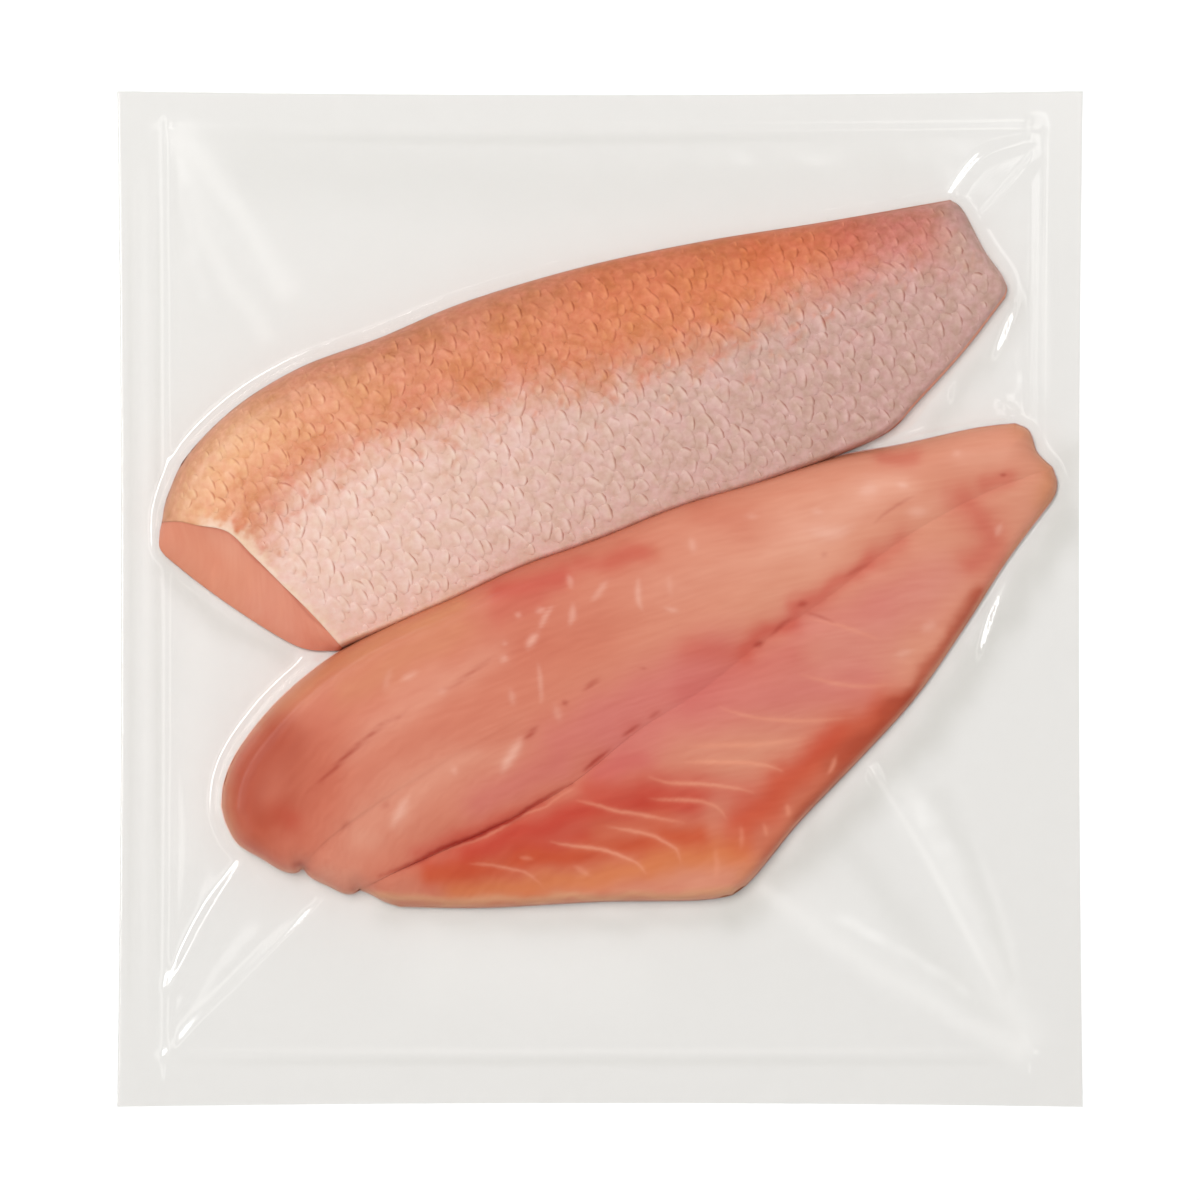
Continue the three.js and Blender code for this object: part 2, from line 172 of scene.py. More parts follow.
flesh_belly = Line([
    (-52, -79.8), (-31.2, -80.1), (0, -78.5), (29.9, -77.7), (35.9, -75.9), (52, -57.5),
    (67.6, -41.3), (81.9, -25.5), (94.9, -6.8), (106.1, 10.7), (117, 25.2),
])
loin_head = Line([
    (-98.3, -53.8), (-97.2, -58), (-94.1, -63.4), (-87.9, -67.3), (-81.9, -70.7), (-78.8, -71),
    (-77.2, -69.9), (-75.4, -72), (-70.2, -74.6), (-66.3, -76.4), (-64, -76.4), (-62.4, -75.4),
])
belly_head = Line([(-62.4, -75.4), (-59.3, -76.7), (-55.9, -78.5), (-52, -79.8)])
loin_tail = Line([(107.9, 45.5), (111.3, 43.7), (113.4, 38.2), (116, 35.4), (117.5, 34.1)])
belly_tail = Line([(117.5, 34.1), (118.6, 30.4), (118.3, 27.6), (117, 25.2)])


def edge_beside_neighbour():
    """The skin-up fillet's belly edge: pressed against its neighbour's back, and then free to the tail."""
    shares = np.linspace(TOUCHES[0], TOUCHES[-1], 13)
    here = flesh_back.at(shares)
    along = flesh_back.at(shares + 0.001) - flesh_back.at(shares - 0.001)
    along /= np.linalg.norm(along, axis=1)[:, None]
    over = np.interp(shares, TOUCHES, (-0.2, PRESSED, PRESSED, 0.2))
    beside = here - over[:, None] * np.stack([-along[:, 1], along[:, 0]], axis=1)
    return Line([*beside, (75.4, 43.7), (81.9, 50.4), (94.9, 64.7), (105.3, 78.3)])


skin_belly = edge_beside_neighbour()
skin_corner = skin_belly.at(0)
skin_back = Line([
    (-113.9, 19.8), (-113.1, 24.4), (-111.3, 29.6), (-108.7, 35.1), (-104, 41.1), (-93.6, 50.7),
    (-78, 60.1), (-57.2, 67.9), (-36.4, 76.7), (-5.2, 86.1), (26, 92.8), (57.2, 97.8), (91, 103.7),
])
skin_head = Line([
    (-113.9, 19.8), (-109.2, 20), (-104, 19), (-96.2, 17.4), (-89.7, 11.4), (-81.9, 3.6), (-74.1, -4.2),
    skin_corner,
])
cut_foot = Line([
    (-114.4, 17.6), (-114.3, 13.1), (-109.2, 8.1), (-93.6, -3.4), (-79.3, -12), (-74.9, -13.3),
    skin_corner - 0.8,
])
skin_tail = Line([(91, 103.7), (93.6, 101.9), (100.1, 90.2), (104.8, 83.5), (105.8, 80.6), (105.3, 78.3)])


def ring(*paths):
    """A closed outline, as one line, from paths that follow each other. False runs a path backwards."""
    shares = np.linspace(0, 1, 48, endpoint=False)
    joined = Line([(0, 0), (1, 0)])
    joined.points = np.vstack([line.at(shares if forwards else 1 - shares) for line, forwards in paths])
    joined.points = np.vstack([joined.points, joined.points[:1]])
    steps = np.linalg.norm(np.diff(joined.points, axis=0), axis=1)
    joined.ways = np.concatenate([[0], np.cumsum(steps)])
    return joined


def to_outline(outline, places):
    """How far each place is from a closed outline."""
    nearest = np.full(len(places), np.inf)
    for a, b in zip(outline.points, outline.points[1:]):
        step = b - a
        share = np.clip((places - a) @ step / max(step @ step, 1e-9), 0, 1)
        nearest = np.minimum(nearest, np.linalg.norm(places - a - share[:, None] * step, axis=1))
    return nearest


skin_up_outline = ring((cut_foot, True), (skin_belly, True), (skin_tail, False), (skin_back, False))
flesh_up_outline = ring(
    (loin_head, True), (belly_head, True), (flesh_belly, True),
    (belly_tail, False), (loin_tail, False), (flesh_back, False),
)
print("fillets about", round(float(skin_back.ways[-1])), "and", round(float(seam.ways[-1])), "mm long")

# %% [markdown]
# ## Grids of points made into closed meshes
# A fillet's top is a grid of points between two long lines and two short ones. A wall round the grid and one
# flat face below close it. The skin is a thin shell instead, with a second grid under the first.

# %% Patches, solids and shells
def patch(first, last, start, end, u, v):
    """Places on the four-sided patch between two long lines, for shares u along it and v across it."""
    u, v = u[:, None, None], v[None, :, None]
    sides = mix(first.at(u[:, :, 0]), last.at(u[:, :, 0]), v)
    start_bulge = start.at(v[:, :, 0]) - mix(first.at(0), last.at(0), v)
    end_bulge = end.at(v[:, :, 0]) - mix(first.at(1), last.at(1), v)
    return sides + start_bulge * (1 - u) + end_bulge * u


def quads(rows, columns, first=0):
    corner = first + (np.arange(rows - 1)[:, None] * columns + np.arange(columns - 1)[None, :]).ravel()
    return np.stack([corner, corner + 1, corner + columns + 1, corner + columns], axis=1)


def rim(rows, columns):
    """The points round a grid's edge, anticlockwise from above."""
    grid = np.arange(rows * columns).reshape(rows, columns)
    return np.concatenate([grid[0, :-1], grid[:-1, -1], grid[-1, :0:-1], grid[:0:-1, 0]])


def wall(above, below):
    return np.stack([np.roll(above, -1), above, below, np.roll(below, -1)], axis=1)


def new_piece(name, points, faces):
    mesh = bpy.data.meshes.new(name)
    mesh.from_pydata((points * MM).tolist(), [], faces)
    mesh.polygons.foreach_set("use_smooth", [len(face) == 4 for face in faces])
    mesh.update()
    piece = bpy.data.objects.new(name, mesh)
    bpy.context.scene.collection.objects.link(piece)
    print(name, "has", sum(len(face) - 2 for face in faces), "triangles")
    return piece


def solid_below(name, top, foot):
    """A closed piece between a grid of top points and a flat underside at the height foot."""
    rows, columns = top.shape[:2]
    points = top.reshape(-1, 3)
    edge = rim(rows, columns)
    under = points[edge] * [1, 1, 0] + [0, 0, foot]
    below = len(points) + np.arange(len(edge))
    faces = [*quads(rows, columns).tolist(), *wall(edge, below).tolist(), below[::-1].tolist()]
    return new_piece(name, np.vstack([points, under]), faces)


def shell_below(name, top, thickness):
    """A closed thin sheet with a grid of top points and the same grid a thickness lower."""
    rows, columns = top.shape[:2]
    points = top.reshape(-1, 3)
    edge = rim(rows, columns)
    faces = [*quads(rows, columns).tolist(), *quads(rows, columns, len(points))[:, ::-1].tolist(),
             *wall(edge, edge + len(points)).tolist()]
    return new_piece(name, np.vstack([points, points - [0, 0, thickness]]), faces)


print("patches ready")

# %% [markdown]
# ## The skin-up fillet
# It is a low dome, thickest near the head and falling towards the tail, with a full round back and a thin
# belly edge. The skin is a shell on the flesh. It ends at the slanting cut at the head end, and it stops a
# little short of the free belly edge near the tail, where the flesh below it shows as a dark line.

# %% Height of the skin-up fillet
ROOT = 0.3  # height of the fillets' undersides, on the lower sheet of film
SKIN_THICK = 0.8
SKIN_HEAD, SKIN_TAIL, SKIN_CREST = 17, 8, 0.4
BACK_FALL, BELLY_FALL = 0.35, 0.5
BACK_ROUND, BELLY_ROUND = 8, 2
FLAT_TOP = 2.6


def fall_from(crest, v, towards_back, towards_belly):
    back = towards_back * ((crest - v) / crest) ** 2
    belly = towards_belly * ((v - crest) / (1 - crest)) ** 2
    return np.where(v < crest, back, belly)


def skin_up_height(u, v, places):
    flat = places.reshape(-1, 2)
    along = mix(SKIN_HEAD, SKIN_TAIL, smoothstep(u, 0.15, 1.1)) * mix(0.9, 1, smoothstep(u, 0, 0.15))
    edge = to_outline(skin_up_outline, flat).reshape(v.shape)
    radius = mix(BACK_ROUND, BELLY_ROUND, smoothstep(v, 0.35, 0.9))
    uneven = 0.25 * swell(flat, 30, 3).reshape(v.shape)
    height = along * (1 - fall_from(SKIN_CREST, v, BACK_FALL, BELLY_FALL)) * rounded(edge, radius, FLAT_TOP)
    return np.maximum(height + uneven, ROOT + SKIN_THICK + 0.1)


print("the skin-up fillet is", SKIN_HEAD, "mm high at its head and", SKIN_TAIL, "mm at its tail")

# %% Skin of the skin-up fillet
SKIN_ROWS, SKIN_COLUMNS = 330, 128
SHORT_BY = 0.7  # how far the skin stops short of the free belly edge near the tail


def skin_sheet():
    u = (np.arange(SKIN_ROWS + 1) / SKIN_ROWS) ** 1.05
    v = crowded(SKIN_COLUMNS)
    places = patch(skin_back, skin_belly, skin_head, skin_tail, u, v)
    inwards = places[:, :1] - places[:, -1:]
    inwards /= np.linalg.norm(inwards, axis=2, keepdims=True)
    drawn_in = SHORT_BY * smoothstep(places[:, -1:, 0], 68, 84) * smoothstep(v[None, :], 0.6, 1)
    places = places + inwards * drawn_in[:, :, None]
    return np.dstack([places, skin_up_height(*np.meshgrid(u, v, indexing="ij"), places)])


skin = shell_below("skin_of_skin_up_fillet", skin_sheet(), SKIN_THICK)

# %% Flesh of the skin-up fillet
CUT_ROWS, BODY_ROWS, BODY_COLUMNS = 40, 120, 130
CUT_FOOT_HEIGHT, CUT_BULGE = 1.3, 1.2
INTO_SKIN = 0.55  # the flesh's top lies this far below the skin's, inside the shell


def flesh_under_skin():
    """The cut face, from its foot up to the skin, and then the flesh's top a little under the skin's."""
    u = np.arange(BODY_ROWS + 1) / BODY_ROWS
    v = crowded(BODY_COLUMNS)
    places = patch(skin_back, skin_belly, skin_head, skin_tail, u, v)
    height = skin_up_height(*np.meshgrid(u, v, indexing="ij"), places) - INTO_SKIN
    body = np.dstack([places, height])
    foot = np.column_stack([cut_foot.at(v), np.full(len(v), CUT_FOOT_HEIGHT)])
    up = np.linspace(0, 1, CUT_ROWS, endpoint=False)[:, None]
    face = mix(foot[None], body[:1], up[:, :, None])
    face[..., 2] += CUT_BULGE * np.sin(np.pi * up) * np.sin(np.pi * v)[None, :]
    return np.concatenate([face, body])


cut_top = flesh_under_skin()
flesh_a = solid_below("flesh_of_skin_up_fillet", cut_top, ROOT)

# %% [markdown]
# ## The flesh-up fillet
# The loin is thick and round, the belly thin and flat, and between them runs the line that the pin bones were
# drawn from. The film presses that groove nearly shut, and it fades out towards both ends.

# %% Height of the flesh-up fillet
LOIN_HEAD, LOIN_PEAK, LOIN_PEAK_AT, LOIN_TAIL, LOIN_CREST = 15, 20, 0.25, 8, 0.42
LOIN_BACK_FALL, LOIN_ROUND = 0.15, 8
SEAM_SHARE, EDGE_SHARE, EDGE_ROUND = 0.78, 0.42, 3.5  # belly heights as shares of the loin's
SEAM_DEPTH, SEAM_HALF_WIDTH = 0.35, 0.15
LOIN_OVERHANG = 0.2  # how much higher the loin stands than the belly, along the head half of the seam
PLATE_TOP = ROOT + SKIN_THICK


def flesh_up_height(u, v, on_loin, places):
    rising = mix(LOIN_HEAD, LOIN_PEAK, smoothstep(u, 0, LOIN_PEAK_AT))
    falling = mix(LOIN_PEAK, LOIN_TAIL, smoothstep(u, LOIN_PEAK_AT, 1.05))
    along = np.where(u < LOIN_PEAK_AT, rising, falling)
    edge = to_outline(flesh_up_outline, places.reshape(-1, 2)).reshape(v.shape)
    if on_loin:
        share = 1 - fall_from(LOIN_CREST, v, LOIN_BACK_FALL, 1 - SEAM_SHARE)
        radius = LOIN_ROUND
        from_seam = 1 - v
    else:
        share = mix(SEAM_SHARE, EDGE_SHARE, smoothstep(v, 0, 1))
        radius = mix(LOIN_ROUND, EDGE_ROUND, smoothstep(v, 0, 0.5))
        from_seam = v
    fade = smoothstep(u, 0.02, 0.12) * (1 - smoothstep(u, 0.7, 0.88))
    groove = SEAM_DEPTH * bell(from_seam, SEAM_HALF_WIDTH) * fade
    step = 0 if on_loin else LOIN_OVERHANG * bell(v, 0.3) * fade * (1 - smoothstep(u, 0.3, 0.5))
    return (along * share - groove - step) * rounded(edge, radius, FLAT_TOP)


def flesh_up_sheet(rows, loin_columns, belly_columns):
    u = np.arange(rows + 1) / rows
    halves = []
    for on_loin, sides, v in (
        (True, (flesh_back, seam, loin_head, loin_tail), crowded(loin_columns, 0.6)[:-1]),
        (False, (seam, flesh_belly, belly_head, belly_tail), crowded(belly_columns, 0.6)),
    ):
        places = patch(*sides, u, v)
        height = flesh_up_height(*np.meshgrid(u, v, indexing="ij"), on_loin, places)
        halves.append(np.dstack([places, height]))
    return np.concatenate(halves, axis=1)


flesh_top = flesh_up_sheet(500, 100, 88)
print("flesh grid", flesh_top.shape[:2], "highest", round(float(flesh_top[..., 2].max()), 1), "mm")

# %% [markdown]
# ## What shows in the raw flesh
# Raw snapper is salmon pink, and it is the differences that make it look real: blood left beside the pin
# bones and over the belly, a paler tail, thin dark slits where bones came out, and the pale sheets of gristle
# between the blocks of muscle. Each is a stroke or a soft wash along a short line. It is stored on the mesh
# as an attribute from 0 to 1, which the material turns into colour. The slits and sheets also shape the
# surface.

# %% Strokes and washes
def close_to(places, points, reach):
    """Which places could be within reach of a line, for it touches no others."""
    low, high = np.min(points, axis=0) - reach, np.max(points, axis=0) + reach
    return np.flatnonzero(((places > low) & (places < high)).all(axis=1))


def strokes(places, lines, soft=1.0):
    """Thin tapering lines, each given as its points, its half width in mm and its strength."""
    uneven = places + 0.18 * np.stack([swell(places, 3.1, 15), swell(places, 2.7, 16)], axis=1)
    total = np.zeros(len(places))
    for points, width, strength in lines:
        near = close_to(uneven, points, 3 * soft * width)
        far, along = to_line(Line(points), uneven[near])
        taper = np.sqrt(np.sin(np.pi * np.clip(along, 0.03, 0.97)))
        share = strength * bell(far, soft * width * (0.45 + 0.55 * taper)) * taper
        total[near] = np.maximum(total[near], share)
    return total


def washes(places, lines):
    """Soft patches round short lines, each given as its points, its radius in mm and its strength."""
    uneven = places + 1.2 * np.stack([swell(places, 14, 11), swell(places, 17, 12)], axis=1)
    uneven = uneven + 0.4 * np.stack([swell(places, 4, 13), swell(places, 5, 14)], axis=1)
    total = np.zeros(len(places))
    for points, radius, strength in lines:
        near = close_to(uneven, points, 3 * radius)
        far, _ = to_line(Line(points), uneven[near])
        total[near] = 1 - (1 - total[near]) * (1 - strength * bell(far, 1.25 * radius))
    return total


def paint(piece, name, values):
    attribute = piece.data.attributes.new(name, "FLOAT", "POINT")
    attribute.data.foreach_set("value", np.asarray(values, np.float32))


def fill_to(piece, values, rest=0.0):
    """Values for the top points, and one value for the others, which lie underneath."""
    return np.concatenate([values, np.full(len(piece.data.vertices) - len(values), rest)])


print("strokes and washes ready")

# %% Slits, where pin bones and blood vessels were
SLITS = [
    ([(-56.9, -71.5), (-52, -69.7), (-46.8, -67.6), (-41.6, -64.7), (-36.9, -62.9), (-31.7, -61.1),
      (-27.3, -58.8), (-22.1, -56.7), (-18.2, -53.8), (-14.3, -51.5), (-10.4, -49.1), (-7.3, -47.8)], 0.8, 1),
    ([(-4.2, -44.5), (-2.1, -42.4), (0, -40.8), (2.6, -38.7)], 0.55, 0.7),
    ([(5.7, -35.6), (8.3, -33.5), (10.4, -32.2)], 0.55, 0.5), ([(12.5, -30.9), (15.6, -28.6)], 0.55, 0.3),
    ([(-77.2, -52), (-72.8, -47.8), (-68.9, -44.2), (-65, -40), (-61.1, -36.9), (-57.2, -33.3),
      (-54.1, -31.2), (-49.4, -29.4)], 0.5, 0.6),
    ([(-41.6, -23.9), (-37.7, -22.1), (-33.8, -19.5), (-29.9, -16.6), (-26.8, -14.8)], 0.45, 0.35),
    ([(-19.5, -36.4), (-17.7, -34.6), (-15.9, -32.8)], 0.7, 0.6), ([(-9.9, -27), (-8.1, -26.5)], 0.75, 0.45),
    ([(-4.4, -23.7), (-2.1, -21.8), (0, -20.5)], 0.65, 0.5), ([(39.5, -12.2), (42.4, -11.2)], 0.8, 0.6),
    ([(44.2, -9.6), (46.8, -6.8), (49.4, -4.9)], 0.65, 0.4), ([(50.7, -1.6), (53.8, -1)], 0.8, 0.5),
    ([(53.3, -3.4), (57.2, -4.7), (60.8, -6.2)], 0.45, 0.3), ([(103.5, 32.2), (105.3, 32)], 0.55, 0.5),
    ([(63.2, 5.5), (66.3, 7.5), (69.7, 9.4)], 0.8, 0.3), ([(10.4, -17.9), (12, -17.9)], 0.5, 0.3),
    ([(70.7, 19.5), (74.1, 22.4), (78, 25), (81.1, 26.5)], 0.45, 0.25),
    ([(-56.2, -53.8), (-54.1, -52.3)], 0.8, 0.25),
    ([(-66.6, -59.3), (-64.5, -56.9)], 0.8, 0.25), ([(57.2, 10.7), (58.8, 12.2)], 0.8, 0.2),
]
print(len(SLITS), "slits")

# %% Gristle, the pale sheets between blocks of muscle, each hooking down at its tail end
GRISTLE = [
    ([(-5.7, -52), (-1.3, -53), (3.9, -54.6), (10.4, -55.6), (15.6, -56.7), (21.3, -57.7)], 0.5, 0.75),
    ([(2.1, -58.8), (10.4, -60.3), (14.3, -61.4), (17.4, -63.2), (19.8, -64.7), (20.8, -68.1)], 0.5, 0.8),
    ([(-12.5, -62.7), (-9.1, -63.4), (-2.6, -64.2), (1.8, -65), (5.2, -66.3), (8.3, -67.6),
      (10.4, -68.9), (11.7, -71)], 0.5, 0.9),
    ([(-33.3, -68.4), (-28.6, -68.6), (-23.4, -69.7), (-19.5, -70.5), (-16.9, -72.3),
      (-15.1, -74.1)], 0.5, 0.6),
    ([(-6.5, -68.9), (-4.4, -70.5), (-2.6, -71.5)], 0.8, 0.5),
    ([(13, -46), (16.9, -47.3), (23.4, -47.6), (29.9, -48.1), (35.1, -48.9), (39.5, -49.9)], 0.5, 0.85),
    ([(13, -51.7), (23.4, -52), (28.1, -52.8), (30.9, -54.3), (32.5, -56.7)], 0.5, 0.7),
    ([(22.1, -42.1), (31.2, -42.1), (39, -42.4), (43.7, -43.2), (47.1, -44.5)], 0.5, 0.95),
    ([(23.4, -38.2), (31.2, -37.7), (39, -37.7), (46.8, -36.9), (53.3, -35.9)], 0.7, 0.6),
    ([(30.7, -27.8), (35.1, -29.4), (39, -30.4), (45.5, -31.2), (54.6, -31.5), (65, -30.7)], 0.5, 0.55),
    ([(52, -19.5), (59.8, -21.6), (67.6, -22.6), (75.4, -22.1)], 0.6, 0.45),
    ([(53.6, -5.2), (59.8, -6.2), (67.6, -8.8), (72.8, -10.7)], 0.5, 0.35),
    ([(36.4, -58.5), (36.7, -61.6), (36.4, -64.7)], 0.6, 0.4), ([(42.4, -58), (43.2, -61.6)], 0.5, 0.4),
    ([(29.9, -64.7), (30.2, -68.4), (29.9, -72.5)], 0.8, 0.4), ([(48.4, -53), (48.9, -56.2)], 0.6, 0.5),
    ([(61.1, -40.8), (60.3, -43.2), (59, -45.5)], 0.6, 0.6), ([(-20.8, -66.6), (-17.4, -67.1)], 0.5, 0.4),
    ([(-41.6, -65.5), (-35.9, -63.4), (-31.7, -62.1), (-26.8, -59.8), (-18.7, -55.1), (-14.3, -53.8),
      (-11.4, -51.5), (-7.3, -49.1)], 0.4, 0.55),
]
print(len(GRISTLE), "sheets of gristle")

# %% Flecks, white shreds of tissue on the loin
FLECKS = [
    ([(-53.3, -58.2), (-51.5, -54.9), (-49.4, -51)], 1.2, 0.6), ([(-37.7, -42.9), (-37.2, -45.2)], 0.8, 0.4),
    ([(-25.2, -44.5), (-23.4, -41.1), (-21.3, -38), (-20.5, -35.9)], 1.2, 0.75),
    ([(-18.7, -12.7), (-17.2, -10.1), (-15.9, -8.6)], 1, 0.75), ([(-8.1, 6.2), (-7.3, 2.9)], 0.8, 0.45),
    ([(-15.6, -7.8), (-14, -4.4), (-12.2, -1.8)], 0.7, 0.6), ([(-16.4, -3.6), (-14, -2.3)], 0.8, 0.5),
    ([(-21.6, -4.9), (-20.5, -3.4)], 0.8, 0.45), ([(-7, -1.3), (-7, -3.9), (-7.8, -6.8)], 0.8, 0.6),
    ([(-2.1, -0.5), (-0.5, 1.3), (1.8, 4.9)], 0.8, 0.45), ([(16.6, -2.3), (20, -3.1)], 0.7, 0.45),
    ([(9.9, 5.5), (9.9, -0.3), (10.9, -2.9)], 0.7, 0.55), ([(17.7, 6.2), (18.2, 0.8)], 0.8, 0.25),
    ([(-25.2, -16.4), (-24.2, -14.3)], 0.8, 0.5), ([(-25, -12), (-23.9, -10.9)], 0.6, 0.35),
    ([(-22.9, -23.1), (-22.4, -27.3)], 0.8, 0.35), ([(-53.8, -17.9), (-55.6, -23.7)], 0.8, 0.25),
    ([(-15.9, -16.4), (-15.3, -21.1), (-15.1, -26.8)], 0.5, 0.45), ([(-11.4, -27.3), (-10.4, -31.5)], 1, 0.3),
    ([(-51, -21.1), (-46.8, -18.5)], 0.9, 0.4), ([(-41.6, -24.4), (-39.5, -23.1)], 0.8, 0.3),
    ([(67.1, 27.3), (72, 28.9)], 1.7, 0.5), ([(76.7, 29.9), (79.8, 28.9)], 0.9, 0.6),
    ([(53.3, 18.2), (59.8, 16.9), (65, 18.5)], 2, 0.5), ([(54.6, 22.9), (57.7, 22.1)], 1, 0.4),
    ([(79.3, 22.4), (84.8, 22.6)], 1.3, 0.4), ([(91, 37.2), (93.6, 38)], 0.9, 0.35),
    ([(102.7, 16.4), (104, 19.5)], 0.9, 0.4), ([(83.2, -8.1), (87.4, -6)], 1.3, 0.4),
    ([(76.2, -14.6), (80.9, -13.3)], 1.2, 0.3), ([(23.4, 15.9), (24.2, 12)], 1, 0.4),
    ([(37.7, 21.3), (40.6, 21.3)], 0.7, 0.3),
]
print(len(FLECKS), "flecks")

